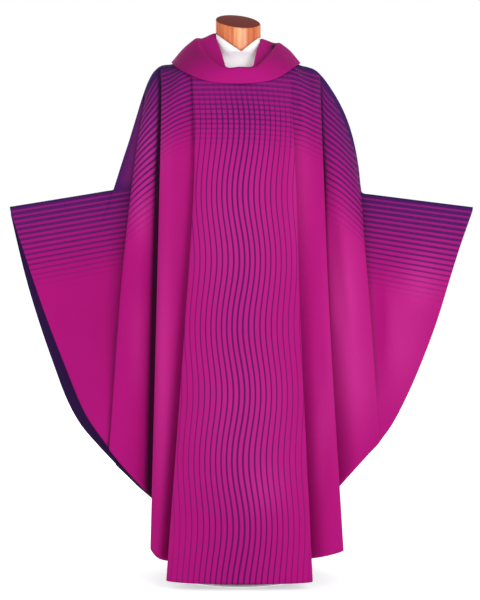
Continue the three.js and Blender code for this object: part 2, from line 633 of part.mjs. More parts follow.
// A sleeve bar: straight under the sleeve's top fold, from the form's side to near the tip.
function barMesh(name, shoulder, material) {
  const elbow = shoulder[shoulder.length - 3];
  const tip = shoulder[shoulder.length - 1];
  const along = new THREE.Vector3(tip.x - elbow.x, 0, tip.z - elbow.z).normalize();
  const outer = new THREE.Vector3(tip.x, 0, tip.z - BAR.below).addScaledVector(along, -BAR.short);
  const side = Math.sign(tip.x);
  const meet = (x) => outer.clone().addScaledVector(along, (x - outer.x) / along.x);
  const rough = meet(side * TORSO[0].width);
  const inner = meet(side * (torsoWidthAt(rough.z) + SEAM * 2));
  const bar = new THREE.Mesh(
    new THREE.CylinderGeometry(BAR.radius, BAR.radius, inner.distanceTo(outer), BAR.sides),
    material,
  );
  bar.position.copy(inner).lerp(outer, 0.5);
  bar.quaternion.setFromUnitVectors(new THREE.Vector3(0, 1, 0), along);
  bar.name = name;
  return bar;
}

function torsoWidthAt(z) {
  let i = 0;
  while (TORSO[i + 1].z < z) i += 1;
  const f = (z - TORSO[i].z) / (TORSO[i + 1].z - TORSO[i].z);
  return lerp(TORSO[i].width, TORSO[i + 1].width, f);
}

// ---- materials and assembly ---------------------------------------------

const cloth = new THREE.MeshStandardMaterial({ color: 0xb4147d, roughness: 0.85, metalness: 0 });
const cover = new THREE.MeshStandardMaterial({ color: 0xf0f1f6, roughness: 0.8, metalness: 0 });
const wood = new THREE.MeshStandardMaterial({ color: 0xcd6937, roughness: 0.45, metalness: 0 });
const steel = new THREE.MeshStandardMaterial({ color: 0xdcdcdc, roughness: 0.5, metalness: 0.3 });

function named(name, geometry, material) {
  const mesh = new THREE.Mesh(geometry, material);
  mesh.name = name;
  return mesh;
}

const front = makePanel(-1, FRONT_FOLDS, NECK_FRONT, FRONT_HEM_LEFT, FRONT_HEM_RIGHT);
const back = makePanel(1, BACK_FOLDS, NECK_BACK, BACK_HEM_LEFT, BACK_HEM_RIGHT);
const frontColumns = panelColumns(front);
const backColumns = panelColumns(back);

const chasuble = new THREE.Group();
chasuble.add(named('front', panelGeometry(front, frontColumns), cloth));
chasuble.add(named('back', panelGeometry(back, backColumns), cloth));
chasuble.add(named('collar', collarGeometry(frontColumns, backColumns), cloth));

const form = new THREE.Group();
form.add(named('form_torso', torsoGeometry(), cover));
form.add(named('form_neck', capGeometry(), wood));
form.add(named('form_pole', poleGeometry(), steel));
form.add(named('form_base', baseGeometry(), steel));
form.add(barMesh('sleeve_bar_left', SHOULDER_LEFT, steel));
form.add(barMesh('sleeve_bar_right', SHOULDER_RIGHT, steel));

const part = new THREE.Group();
part.add(chasuble, form);

export default part;
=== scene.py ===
"""Looks of a gothic chasuble on a limbless dress form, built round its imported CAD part.
Sizes in the tables are millimetres, as a cutter writes them; meshes are made in metres."""
import math
from functools import partial

import bpy
import numpy as np
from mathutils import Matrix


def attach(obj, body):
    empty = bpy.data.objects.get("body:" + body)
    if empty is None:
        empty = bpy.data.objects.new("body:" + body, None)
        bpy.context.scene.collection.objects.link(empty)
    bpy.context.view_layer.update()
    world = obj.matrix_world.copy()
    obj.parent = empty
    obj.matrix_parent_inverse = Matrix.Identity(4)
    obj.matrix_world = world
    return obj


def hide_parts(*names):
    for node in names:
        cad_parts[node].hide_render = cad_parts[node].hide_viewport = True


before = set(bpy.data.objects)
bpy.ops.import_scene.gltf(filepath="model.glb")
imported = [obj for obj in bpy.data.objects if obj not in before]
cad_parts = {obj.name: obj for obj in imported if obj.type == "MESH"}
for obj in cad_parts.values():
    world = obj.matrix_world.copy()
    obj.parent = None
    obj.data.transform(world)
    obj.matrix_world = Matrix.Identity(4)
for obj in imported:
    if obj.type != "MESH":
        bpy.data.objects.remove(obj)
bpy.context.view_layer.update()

# ---- camera and studio ----
# A camera 5.2 m in front and 1 m high looks slightly down. The floor is plain and pale, and
# the light is soft: a broad key from the front right, a weaker one from the left, and one
# from behind.

CAMERA_BACK = 5.2
CAMERA_HIGH = 1.0
CAMERA_DIP = 3.226           # degrees below the horizon
FOCAL_PIXELS = 2047.24       # for a picture 600 pixels high
SENSOR = 36.0

lens = bpy.data.cameras.new("camera")
lens.sensor_width = SENSOR
lens.lens = SENSOR * FOCAL_PIXELS / 600
camera = bpy.data.objects.new("camera", lens)
camera.location = (0, -CAMERA_BACK, CAMERA_HIGH)
camera.rotation_euler = (math.radians(90 - CAMERA_DIP), 0, 0)
bpy.context.collection.objects.link(camera)
bpy.context.scene.camera = camera
bpy.context.scene.view_settings.view_transform = "Standard"


def colour(red, green, blue):
    """A screen colour (0 to 255) as the linear colour that a shader takes."""
    linear = []
    for value in (red, green, blue):
        part = value / 255
        linear.append(part / 12.92 if part <= 0.04045 else ((part + 0.055) / 1.055) ** 2.4)
    return (*linear, 1.0)


def new_material(name):
    """An empty node material with its Principled shader: (material, node tree, shader)."""
    made = bpy.data.materials.new(name)
    made.use_nodes = True
    return made, made.node_tree, made.node_tree.nodes["Principled BSDF"]


def fill(node, **sockets):
    """Sets some of a node's unlinked inputs by name."""
    for name, value in sockets.items():
        node.inputs[name.replace("_", " ")].default_value = value


def add(tree, kind, **sockets):
    """A node with some of its unlinked inputs set by name."""
    node = tree.nodes.new(kind)
    fill(node, **sockets)
    return node


world = bpy.data.worlds.new("studio")
bpy.context.scene.world = world
world.use_nodes = True
sky = world.node_tree
sky.nodes.clear()
sky_out = sky.nodes.new("ShaderNodeOutputWorld")
sky_mix = sky.nodes.new("ShaderNodeMixShader")
seen = sky.nodes.new("ShaderNodeLightPath")
ambient = add(sky, "ShaderNodeBackground", Color=(1, 1, 1, 1), Strength=0.66)
backdrop = add(sky, "ShaderNodeBackground", Color=(1, 1, 1, 1), Strength=1.0)
sky.links.new(seen.outputs["Is Camera Ray"], sky_mix.inputs[0])
sky.links.new(ambient.outputs[0], sky_mix.inputs[1])
sky.links.new(backdrop.outputs[0], sky_mix.inputs[2])
sky.links.new(sky_mix.outputs[0], sky_out.inputs["Surface"])


def softbox(name, place, aim, size, power):
    """A square area light at place, turned towards aim."""
    light = bpy.data.lights.new(name, "AREA")
    light.shape = "SQUARE"
    light.size = size
    light.energy = power
    lamp = bpy.data.objects.new(name, light)
    lamp.location = place
    away = np.subtract(aim, place)
    lamp.rotation_euler = (
        math.acos(-away[2] / np.linalg.norm(away)), 0, math.atan2(away[1], away[0]) - math.pi / 2
    )
    bpy.context.collection.objects.link(lamp)


softbox("key_light", (2.3, -3.9, 2.1), (0, 0, 0.75), 2.0, 82)
softbox("fill_light", (-3.2, -3.0, 1.4), (0, 0, 0.7), 2.4, 18)
softbox("back_light", (-0.8, 4.2, 2.2), (0, 0, 0.8), 2.4, 60)

bpy.ops.mesh.primitive_circle_add(vertices=64, radius=30, fill_type="NGON", location=(0, 0, -0.001))
floor = bpy.context.object
floor.name = "studio_floor"
floor_paint, _, floor_shader = new_material("studio_floor")
fill(floor_shader, Base_Color=(0.93, 0.93, 0.94, 1), Roughness=0.9)
fill(floor_shader, Emission_Color=(1, 1, 1, 1), Emission_Strength=0.5)
floor.data.materials.append(floor_paint)

# ---- stand: base, pole and sleeve bars ----
# A flat steel disc and a tube pole carry the form, and a straight rod on each side holds
# the sleeves out. All are steel with a satin powder coat that is slightly cloudy.


def maths(tree, operation, first, second=0.0, third=0.0):
    """A Math node over sockets or numbers; answers its output."""
    node = tree.nodes.new("ShaderNodeMath")
    node.operation = operation
    for socket, value in zip(node.inputs, (first, second, third)):
        if isinstance(value, (int, float)):
            socket.default_value = value
        else:
            tree.links.new(value, socket)
    return node.outputs[0]


def blend_colours(tree, share, first, second):
    """A mix of two colours by a share between 0 and 1; answers its output."""
    node = tree.nodes.new("ShaderNodeMix")
    node.data_type = "RGBA"
    for place, value in ((0, share), (6, first), (7, second)):
        socket = node.inputs[place]
        if isinstance(value, (int, float, tuple)):
            socket.default_value = value
        else:
            tree.links.new(value, socket)
    return node.outputs[2]


def placed(tree, *textures):
    """Lays textures over the object; answers its coordinates."""
    place = tree.nodes.new("ShaderNodeTexCoord").outputs["Object"]
    for texture in textures:
        tree.links.new(place, texture.inputs["Vector"])
    return place


def bumped(tree, shader, height, strength, distance):
    """Lets a height roughen a shader's surface."""
    bump = add(tree, "ShaderNodeBump", Strength=strength, Distance=distance)
    tree.links.new(height, bump.inputs["Height"])
    tree.links.new(bump.outputs["Normal"], shader.inputs["Normal"])


def toned(tree, shader, share, first, second):
    """Colours a shader with a mix of two colours."""
    tree.links.new(blend_colours(tree, share, first, second), shader.inputs["Base Color"])


coat, coat_tree, coat_shader = new_material("stand_coat")
coat_grain = add(coat_tree, "ShaderNodeTexNoise", Scale=900.0, Detail=2.0)
coat_cloud = add(coat_tree, "ShaderNodeTexNoise", Scale=14.0, Detail=3.0)
placed(coat_tree, coat_grain, coat_cloud)
coat_tones = colour(206, 206, 208), colour(226, 226, 228)
toned(coat_tree, coat_shader, coat_cloud.outputs["Fac"], *coat_tones)
coat_tree.links.new(
    maths(coat_tree, "MULTIPLY_ADD", coat_cloud.outputs["Fac"], 0.22, 0.34),
    coat_shader.inputs["Roughness"],
)
bumped(coat_tree, coat_shader, coat_grain.outputs["Fac"], 0.12, 0.0004)
fill(coat_shader, Metallic=0.25)
for node in ("form_base", "form_pole", "sleeve_bar_left", "sleeve_bar_right"):
    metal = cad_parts[node]
    metal.data.materials.clear()
    metal.data.materials.append(coat)

# ---- dress form: covered torso and wooden neck ----
# A limbless torso under a stretched white knit, cut in a V round the neck, and above it
# the form's turned wooden neck with a slanted top. Both stay clear of the cloth.

NECK = {"x": -5, "radius": 55.5}
TORSO = [
    {"z": 690, "width": 150, "depth": 92}, {"z": 720, "width": 160, "depth": 100},
    {"z": 780, "width": 160, "depth": 102}, {"z": 870, "width": 152, "depth": 96},
    {"z": 960, "width": 146, "depth": 90}, {"z": 1060, "width": 156, "depth": 96},
    {"z": 1160, "width": 172, "depth": 98}, {"z": 1220, "width": 178, "depth": 88},
    {"z": 1260, "width": 172, "depth": 72}, {"z": 1285, "width": 154, "depth": 58},
    {"z": 1303, "width": 122, "depth": 49}, {"z": 1314, "width": 84, "depth": 44},
    {"z": 1325, "width": 62, "depth": 47}, {"z": 1331, "width": 55.5, "depth": 53},
]
SQUARENESS = 2.3             # 2 is an ellipse, which it is from ROUND's high up
ROUND = {"low": 1262, "high": 1336}
COVER_EDGE = {"front": 1332, "side": 1375, "tilt": -0.08, "apex": 3.5}
CAP_TOP = {"z": 1411.5, "forward": 0.355, "sideways": -0.11, "rounding": 4}
CAP_RADIUS = 57
CAP_GAP = 0.3                # between the cover and the cap
END_GRAIN_FROM = 0.75        # faces that look this much upwards show end grain
NECK_FOOT = 1331.4           # where the round neck begins, just above TORSO
FORM_SIDES = 96
MM = 0.001


def lerp(start, end, share):
    return start + (end - start) * share


def form_ring(half_width, half_depth, squareness, middle):
    """x and y round a superellipse."""
    angle = np.linspace(0, 2 * np.pi, FORM_SIDES, endpoint=False)
    c, s = np.cos(angle), np.sin(angle)
    x = middle + half_width * np.sign(c) * np.abs(c) ** (2 / squareness)
    y = half_depth * np.sign(s) * np.abs(s) ** (2 / squareness)
    return x, y


def neck_circle(radius):
    return form_ring(radius, radius, 2, NECK["x"])


def cover_edge(x, y):
    """Height of the cover's upper edge: a shallow V in front, level behind."""
    from_apex = np.where(x < COVER_EDGE["apex"], COVER_EDGE["apex"] - x, x - COVER_EDGE["apex"])
    reach = NECK["radius"] + np.where(x < COVER_EDGE["apex"], 1, -1) * (
        COVER_EDGE["apex"] - NECK["x"]
    )
    out = np.clip(from_apex / reach, 0, 1)
    level = COVER_EDGE["side"] + COVER_EDGE["tilt"] * (x - NECK["x"])
    return np.where(y < 0, lerp(COVER_EDGE["front"], level, out), level)


def neck_top(x, y):
    return CAP_TOP["z"] + CAP_TOP["forward"] * y + CAP_TOP["sideways"] * (x - NECK["x"])


def smooth_mesh(name, points, faces, materials):
    """A smooth-shaded mesh object from points in millimetres."""
    mesh = bpy.data.meshes.new(name)
    mesh.from_pydata((np.asarray(points) * MM).tolist(), [], faces)
    mesh.update()
    mesh.polygons.foreach_set("use_smooth", [True] * len(mesh.polygons))
    for material in materials:
        mesh.materials.append(material)
    made = bpy.data.objects.new(name, mesh)
    bpy.context.collection.objects.link(made)
    return made


def turned_solid(name, rings, material):
    """A closed solid through rings of FORM_SIDES points, from the lowest up."""
    points = np.concatenate(rings)
    middles = [rings[0].mean(axis=0), rings[-1].mean(axis=0)]
    points = np.concatenate([points, middles])
    low, high = len(points) - 2, len(points) - 1
    roof = (len(rings) - 1) * FORM_SIDES
    faces = []
    for i in range(FORM_SIDES):
        after = (i + 1) % FORM_SIDES
        for k in range(len(rings) - 1):
            a, b = k * FORM_SIDES + i, k * FORM_SIDES + after
            faces.append((a, b, b + FORM_SIDES, a + FORM_SIDES))
        faces.append((low, after, i))
        faces.append((high, roof + i, roof + after))
    return smooth_mesh(name, points, faces, [material])


def through(knots, values, at):
    """Smooth curve through rows of values at uneven knots, for an array of places."""
    knots, values, at = (np.asarray(a, float) for a in (knots, values, at))
    last = len(knots) - 2
    i = np.clip(np.searchsorted(knots, at, side="left") - 1, 0, last)
    slopes = np.diff(values, axis=0) / np.diff(knots)[:, None]
    span = (knots[i + 1] - knots[i])[:, None]
    u = (at - knots[i])[:, None] / span
    start = (slopes[np.maximum(i - 1, 0)] + slopes[i]) / 2 * span
    end = (slopes[i] + slopes[np.minimum(i + 1, last)]) / 2 * span
    return (
        (2 * u**3 - 3 * u**2 + 1) * values[i] + (u**3 - 2 * u**2 + u) * start
        + (3 * u**2 - 2 * u**3) * values[i + 1] + (u**3 - u**2) * end
    )


knit, knit_tree, knit_shader = new_material("form_knit")
knit_rib = add(knit_tree, "ShaderNodeTexWave", Scale=260.0, Distortion=1.2, Detail=1.0)
knit_rib.bands_direction = "X"
knit_cloud = add(knit_tree, "ShaderNodeTexNoise", Scale=9.0, Detail=3.0)
placed(knit_tree, knit_rib, knit_cloud)
knit_tones = colour(246, 247, 250), colour(254, 254, 255)
toned(knit_tree, knit_shader, knit_cloud.outputs["Fac"], *knit_tones)
bumped(knit_tree, knit_shader, knit_rib.outputs["Fac"], 0.3, 0.0005)
# The knit glows faintly: painted light that keeps it bright in the collar's shade.
fill(knit_shader, Roughness=0.85, Emission_Color=(1, 1, 1, 1), Emission_Strength=0.06)

torso_rings = []
heights = np.array([row["z"] for row in TORSO], float)
sizes = np.array([[row["width"], row["depth"]] for row in TORSO], float)
for z in np.concatenate([np.arange(690, 1285, 12.0), np.arange(1285, 1331, 4.0), [1331]]):
    half_width, half_depth = through(heights, sizes, [z])[0]
    risen = np.clip((z - ROUND["low"]) / (ROUND["high"] - ROUND["low"]), 0, 1)
    x, y = form_ring(half_width, half_depth, lerp(SQUARENESS, 2, risen), NECK["x"] * risen)
    torso_rings.append(np.stack([x, y, np.full_like(x, z)], axis=1))
x, y = neck_circle(NECK["radius"])
for share in (0.25, 0.5, 0.75, 1.0):
    torso_rings.append(np.stack([x, y, lerp(NECK_FOOT, cover_edge(x, y), share)], axis=1))
form_cover = turned_solid("form_cover", torso_rings, knit)
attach(form_cover, "root")
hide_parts("form_torso")

wood, wood_tree, wood_shader = new_material("neck_wood")
wood_stretch = add(wood_tree, "ShaderNodeMapping", Scale=(38.0, 38.0, 2.6))
wood_grain = add(wood_tree, "ShaderNodeTexNoise", Scale=3.0, Detail=5.0, Roughness=0.55)
wood_place = placed(wood_tree, wood_stretch)
wood_tree.links.new(wood_stretch.outputs["Vector"], wood_grain.inputs["Vector"])
wood_ramp = wood_tree.nodes.new("ShaderNodeValToRGB")
wood_stops = (0.36, colour(186, 80, 32)), (0.66, colour(228, 128, 66))
for stop, (place, tint) in zip(wood_ramp.color_ramp.elements, wood_stops):
    stop.position, stop.color = place, tint
wood_tree.links.new(wood_grain.outputs["Fac"], wood_ramp.inputs["Fac"])
# A painted highlight runs down the middle, in front and behind, broken up by the grain.
wood_sides = wood_tree.nodes.new("ShaderNodeSeparateXYZ")
wood_tree.links.new(wood_place, wood_sides.inputs[0])
off_middle = maths(wood_tree, "ABSOLUTE", wood_sides.outputs["X"])
wood_highlight = maths(wood_tree, "MAXIMUM", maths(wood_tree, "MULTIPLY_ADD", off_middle, -32.0, 0.85), 0.0)
wood_highlight = maths(wood_tree, "MULTIPLY", wood_highlight, maths(
    wood_tree, "MULTIPLY_ADD", wood_grain.outputs["Fac"], 1.6, -0.1,
))
toned(wood_tree, wood_shader, wood_highlight, wood_ramp.outputs["Color"], colour(252, 190, 138))
bumped(wood_tree, wood_shader, wood_grain.outputs["Fac"], 0.15, 0.0006)
fill(wood_shader, Roughness=0.42, Coat_Weight=0.2, Coat_Roughness=0.25)

end_grain, end_tree, end_shader = new_material("neck_end_grain")
end_rings = add(end_tree, "ShaderNodeTexWave", Scale=34.0, Distortion=3.0, Detail=2.0)
end_rings.wave_type = "RINGS"
end_rings.rings_direction = "Z"
placed(end_tree, end_rings)
end_tones = colour(104, 40, 38), colour(124, 50, 44)
toned(end_tree, end_shader, end_rings.outputs["Fac"], *end_tones)
fill(end_shader, Roughness=0.7, Specular_IOR_Level=0.1)

cap_rings = []
x, y = neck_circle(CAP_RADIUS)
for share in np.linspace(0, 1, 7):
    height = lerp(cover_edge(x, y) + CAP_GAP, neck_top(x, y) - CAP_TOP["rounding"], share)
    cap_rings.append(np.stack([x, y, height], axis=1))
for angle in np.radians([22, 45, 68, 90]):
    inset = CAP_TOP["rounding"] * (1 - math.cos(angle))
    x, y = neck_circle(CAP_RADIUS - inset)
    height = neck_top(x, y) - CAP_TOP["rounding"] * (1 - math.sin(angle))
    cap_rings.append(np.stack([x, y, height], axis=1))
neck_cap = turned_solid("neck_cap", cap_rings, wood)
neck_cap.data.materials.append(end_grain)
for face in neck_cap.data.polygons:
    face.material_index = int(face.normal.z > END_GRAIN_FROM)
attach(neck_cap, "root")
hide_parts("form_neck")

# ---- chasuble: front and back ----
# Two great panels of heavy magenta wool, interlined and about 2 mm thick, sewn together
# along the shoulders and hanging in long folds. Stripes graded from the shoulder down run
# with the shoulder line, and wavy lines go down the middle. The wrong side is dark violet.

WALL = 2.0
SEAM = 0.3
STATIONS = [0, 0.2, 0.5, 1]  # parts of the drop at which the folds are given
LAST_STRIPE = 17             # its number, from which the others count back upwards
SHOULDER_LEFT = [
    (-76, 1338), (-172, 1304), (-199, 1300), (-218, 1285), (-231, 1263), (-247, 1221),
    (-262, 1173), (-282, 1108), (-301, 1050), (-313, 1006), (-316, 992), (-322, 987),
    (-336, 984.5), (-454, 965), (-584, 944),
]
SHOULDER_RIGHT = [
    (66, 1332), (152, 1301), (174, 1296), (189, 1290), (206, 1275), (230, 1243), (257, 1197),
    (277, 1149), (291, 1098), (301, 1043), (307, 990), (309, 981), (315, 977.5),
    (329, 975.8), (454, 960), (591, 943),
]
NECK_FRONT = [
    (-76, 0, 1338), (-67, -48, 1312), (-40, -84, 1276), (-4, -97, 1258), (32, -84, 1275),
    (58, -48, 1308), (66, 0, 1332),
]
NECK_BACK = [(-76, 0, 1338), (-64, 46, 1342), (-5, 78, 1345), (54, 46, 1337), (66, 0, 1332)]

# One row for each fold line, from left to right: its place on the rim (-1 to 1 along the
# neckline, and further out metres along the shoulder line), the height in which it turns
# down, x and depth at STATIONS, the hem's height, the heights of the first and the last
# stripe there, the drop from one stripe to the next, and how much painted shade its hollow gets.
FOLD_COLUMNS = ("top", "roll", "x", "depth", "hem", "first", "last", "pitch", "hollow")
FRONT_FOLDS = [
    (-1.212, 110, (-238, -228, -256, -329), (14, 36, 44, 84), 338, 1226, 826, 17.3, 1),
    (-1.208, 110, (-238, -263, -295, -329), (22, 66, 74, 86), 337, 1228, 826, 17.3, 0),
    (-1.203, 110, (-237, -265, -297, -329), (26, 78, 86, 91), 335, 1232, 826, 17.3, 0),
    (-1.17, 110, (-218, -234, -252, -276), (50, 92, 97, 100), 271, 1262, 868, 17.2, 0),
    (-1.134, 105, (-198, -172, -166, -168), (58, 72, 62, 38), 152, 1288, 914, 16.8, 1),
    (-1.13, 105, (-196, -198, -207, -223), (62, 98, 108, 122), 97, 1293, 1042, 12.3, 0),
    (-1.126, 105, (-194, -200, -210, -226), (66, 110, 121, 135), 94, 1293, 1042, 12.3, 0),
    (-1.085, 100, (-172, -186, -192, -210), (80, 121, 134, 148), 74, 1300, 1052, 12.2, 0),
    (-1, 100, (-150, -156, -166, -192), (92, 127, 136, 146), 64, 1306, 1072, 12.1, 0),
    (-0.9, 60, (-122, -86, -92, -128), (88, 116, 108, 74), 46, 1310, 1090, 12, 0.46),
    (-0.62, 55, (-121, -114, -137, -184), (96, 134, 152, 178), 24, 1308, 1084, 12, 0),
    (-0.55, 50, (-120, -115, -139, -187), (104, 146, 164, 190), 21, 1308, 1084, 12, 0),
    (-0.3, 24, (-70, -68, -82, -110), (120, 151, 172, 196), 15.5, 1308, 1084, 12, 0),
    (0, 16, (-2, 0, 0, 0), (125, 153, 174, 198), 15, 1308, 1084, 12, 0),
    (0.3, 24, (68, 74, 84, 110), (121, 150, 171, 196), 15.5, 1308, 1081, 12.1, 0),
    (0.55, 50, (120, 138, 153, 184), (104, 142, 162, 190), 18, 1303, 1074, 12.2, 0),
    (0.62, 55, (123, 138, 151, 182), (98, 132, 150, 178), 22, 1303, 1074, 12.2, 0),
    (0.85, 60, (128, 112, 108, 124), (90, 118, 110, 76), 52, 1300, 1074, 12.3, 0.42),
    (1, 100, (150, 160, 170, 192), (88, 120, 132, 146), 71, 1298, 1066, 12.4, 0),
    (1.09, 100, (176, 186, 202, 228), (76, 114, 130, 146), 79, 1292, 1050, 12.6, 0),
    (1.14, 100, (199, 209, 225, 262), (60, 104, 120, 134), 87, 1282, 1040, 12.8, 0),
    (1.145, 100, (200, 208, 222, 259), (56, 93, 108, 122), 90, 1282, 1040, 12.8, 0),
    (1.15, 100, (201, 184, 180, 196), (52, 74, 64, 40), 176, 1270, 916, 15.8, 0.84),
    (1.186, 100, (224, 238, 252, 282), (46, 88, 96, 99), 280, 1240, 890, 15.6, 0),
    (1.247, 100, (252, 268, 281, 305), (34, 74, 87, 93), 305, 1185, 864, 15.6, 0),
    (1.33, 90, (279, 292, 303, 326), (24, 60, 78, 88), 327, 1112, 844, 15.6, 0),
    (1.455, 60, (305, 313, 328, 350), (24, 66, 80, 88), 352, 1030, 826, 15.6, 0),
    (1.46, 50, (306, 313, 328, 351), (20, 56, 76, 86), 354, 1030, 826, 15.6, 0),
    (1.464, 30, (307, 291, 322, 352), (10, 34, 70, 84), 356, 1030, 826, 15.6, 0.8),
]
BACK_FOLDS = [
    (-1.33, 90, (-272, -262, -276, -322), (12, 34, 44, 82), 276, 1112, 858, 15.6, 0.8),
    (-1.325, 90, (-271, -288, -304, -323), (18, 58, 72, 85), 274, 1112, 858, 15.6, 0),
    (-1.32, 90, (-270, -289, -306, -323), (22, 68, 82, 90), 272, 1112, 858, 15.6, 0),
    (-1.25, 100, (-246, -256, -270, -292), (36, 80, 90, 95), 242, 1185, 880, 15.6, 0),
    (-1.18, 110, (-220, -230, -238, -262), (48, 92, 98, 99), 210, 1245, 906, 15.6, 0),
    (-1.145, 105, (-204, -180, -164, -172), (56, 74, 62, 42), 150, 1280, 940, 15.6, 1),
    (-1.14, 105, (-202, -206, -212, -228), (60, 97, 106, 118), 92, 1282, 1070, 13, 0),
    (-1.135, 105, (-200, -208, -214, -230), (64, 108, 118, 130), 89, 1282, 1070, 13, 0),
    (-1.08, 100, (-176, -190, -196, -212), (76, 118, 130, 142), 74, 1292, 1082, 12.6, 0),
    (-1, 80, (-150, -160, -168, -194), (88, 122, 134, 142), 64, 1300, 1098, 12.2, 0),
    (-0.86, 60, (-128, -96, -98, -130), (92, 112, 104, 76), 48, 1306, 1108, 12, 0.55),
    (-0.66, 50, (-126, -124, -140, -178), (98, 128, 144, 168), 27, 1306, 1110, 12, 0),
    (-0.58, 48, (-124, -125, -142, -180), (104, 139, 155, 178), 24, 1308, 1112, 12, 0),
    (-0.3, 40, (-72, -74, -86, -108), (114, 143, 160, 182), 19, 1308, 1116, 12, 0),
    (0, 38, (-4, -2, 0, 2), (118, 145, 163, 184), 18, 1308, 1117, 12, 0),
    (0.3, 40, (68, 72, 86, 112), (114, 143, 160, 182), 19, 1308, 1116, 12, 0),
    (0.58, 48, (118, 122, 142, 186), (104, 139, 155, 178), 24, 1306, 1112, 12, 0),
    (0.66, 50, (120, 121, 140, 184), (98, 128, 144, 168), 27, 1306, 1110, 12, 0),
    (0.86, 60, (124, 94, 96, 134), (90, 112, 104, 76), 50, 1304, 1106, 12.2, 0.55),
    (1, 80, (150, 158, 172, 200), (86, 120, 132, 142), 68, 1298, 1096, 12.4, 0),
    (1.085, 100, (172, 188, 204, 224), (76, 116, 129, 141), 78, 1290, 1080, 12.8, 0),
    (1.15, 100, (202, 212, 226, 248), (60, 104, 118, 130), 92, 1280, 1070, 13, 0),
    (1.155, 100, (204, 211, 224, 246), (56, 93, 106, 118), 95, 1280, 1070, 13, 0),
    (1.16, 100, (206, 186, 178, 190), (52, 72, 62, 42), 176, 1270, 940, 15.6, 1),
    (1.21, 100, (238, 246, 256, 280), (42, 84, 94, 97), 288, 1225, 904, 15.6, 0),
    (1.31, 90, (268, 280, 294, 312), (28, 66, 82, 90), 322, 1135, 874, 15.6, 0),
    (1.4, 70, (291, 304, 318, 338), (20, 60, 78, 88), 350, 1050, 856, 15.6, 0),
    (1.405, 60, (292, 303, 317, 339), (16, 50, 68, 84), 353, 1050, 856, 15.6, 0),
    (1.41, 50, (293, 280, 294, 340), (10, 32, 46, 82), 356, 1050, 856, 15.6, 0.8),
]
FRONT_HEM_LEFT = [(-388, 419), (-444, 546), (-493, 671), (-520, 748), (-553, 847), (-578, 922)]
FRONT_HEM_RIGHT = [
    (380, 392), (416, 456), (457, 546), (497, 650), (536, 775), (562, 857), (585, 922),
]
BACK_HEM_LEFT = [
    (-368, 328), (-411, 382), (-441, 438), (-478, 540), (-516, 656), (-548, 769), (-583, 922),
]
BACK_HEM_RIGHT = [
    (374, 402), (410, 467), (450, 556), (490, 660), (530, 782), (557, 862), (584, 924),
]
SLEEVE = {"roll": 14, "depth": 13, "hem_depth": 26, "elbow": 1.468, "tuck_reach": 0.4}
# The painted shade on each sleeve beside the body: how dark, how far out and how far down that
# reaches; and the thin painted shadow line that follows the edge of the body's last fold.
SLEEVE_SHADE = {
    "share": {-1: 0.95, 1: 0.7}, "reach": {-1: 0.06, 1: 0.045}, "foot": 700, "rise": 180,
}
FOLD_SHADOW_LINE = {
    "fold": 1.5, "off": 2.5, "width": {-1: 5.5, 1: 8}, "share": {-1: 0.42, 1: 0.34},
    "foot": {-1: 300, 1: 430}, "rise": 90,
}
# A painted highlight streak down the strip between the arm and the last fold: its middle and
# its width as parts of the strip.
ARM_HIGHLIGHT = {"middle": 0.55, "width": 0.36, "foot": 975, "rise": 40}
# The painted shade in a fold's hollow turns dark from one number to another, over a short way.
SHADE_PAINT_FROM, SHADE_PAINT_TO = 0.32, 0.415
# Sleeve stripes: the sleeve's top line through its tip, how much it rises per millimetre
# towards the neck, the drop between stripes at the tip and at the elbow, how many there are
# and how strong. The last are paler than the first.
SLEEVE_RUN = 280             # from the tip to the elbow
SLEEVE_PALING = 0.26
SLEEVE_STRIPES = {
    -1: {
        "tip": (-584, 944), "rise": 0.1635, "pitch": (13.6, 13.1), "count": 17, "contrast": 0.84,
    },
    1: {
        "tip": (591, 943), "rise": 0.125, "pitch": (13.8, 12.6), "count": 19.5, "contrast": 0.9,
    },
}
# How strong the stripes are by the place on the rim: faint in the middle, strong on the sleeves.
STRIPE_CONTRAST = ((0, 0.6, 0.9, 1.12, 1.15), (0.62, 0.62, 0.8, 0.82, 0.84))
# Painted shade in the folds: the body's folds are nearly shut at the top and open out below it,
# and get less of it at the top. Those further out on the rim than sleeve_from, beside the
# sleeves, are open at the top and close towards the foot, where they get less of it.
FOLD_SHADE_BY_HEIGHT = {
    "sleeve_from": 1.19, "top": 1290, "drop": 260, "at_top": 0.59,
    "foot": 430, "rise": 420, "at_foot": 0.5,
}
# The wavy lines: how far and in what height they swing, less so towards the outermost, and
# their spacing.
LINE_WAVE = {"reach": 9.5, "length": 330, "rightmost": 1145, "outermost": 150, "calming": 0.6}
LINE_PITCH = {"high": 13.2, "low": 14.2, "from": 950}
LINE_MIDDLE = 2.5            # where the middle line runs
LINES_A_SIDE = 12
LINE_TOP = 1272              # where the middle line begins
LINE_STAGGER = 0.3           # how much lower the others begin, times their rank squared
LINE_GROWTH = 90             # the height over which a line comes up
LINES_FROM, LINES_TO = -0.84, 0.8    # places on the neckline between which they lie
NO_LINE = -9                 # a height above that beginning, for cloth without lines

COLUMNS_PER_FOLD = 7
ARM_COLUMNS = 48
TIP_COLUMNS = 34
TIP_POWER = 1.3              # crowds those columns towards the elbow
ROWS = 118
ROW_POWER = 1.3              # crowds the rows towards the shoulder


def curve_through(points):
    """(length, function of distances) of the smooth curve through points in a row."""
    points = np.asarray(points, float)
    knots = np.concatenate([[0], np.cumsum(np.linalg.norm(np.diff(points, axis=0), axis=1))])
    return knots[-1], lambda distance: through(knots, points, np.atleast_1d(distance))


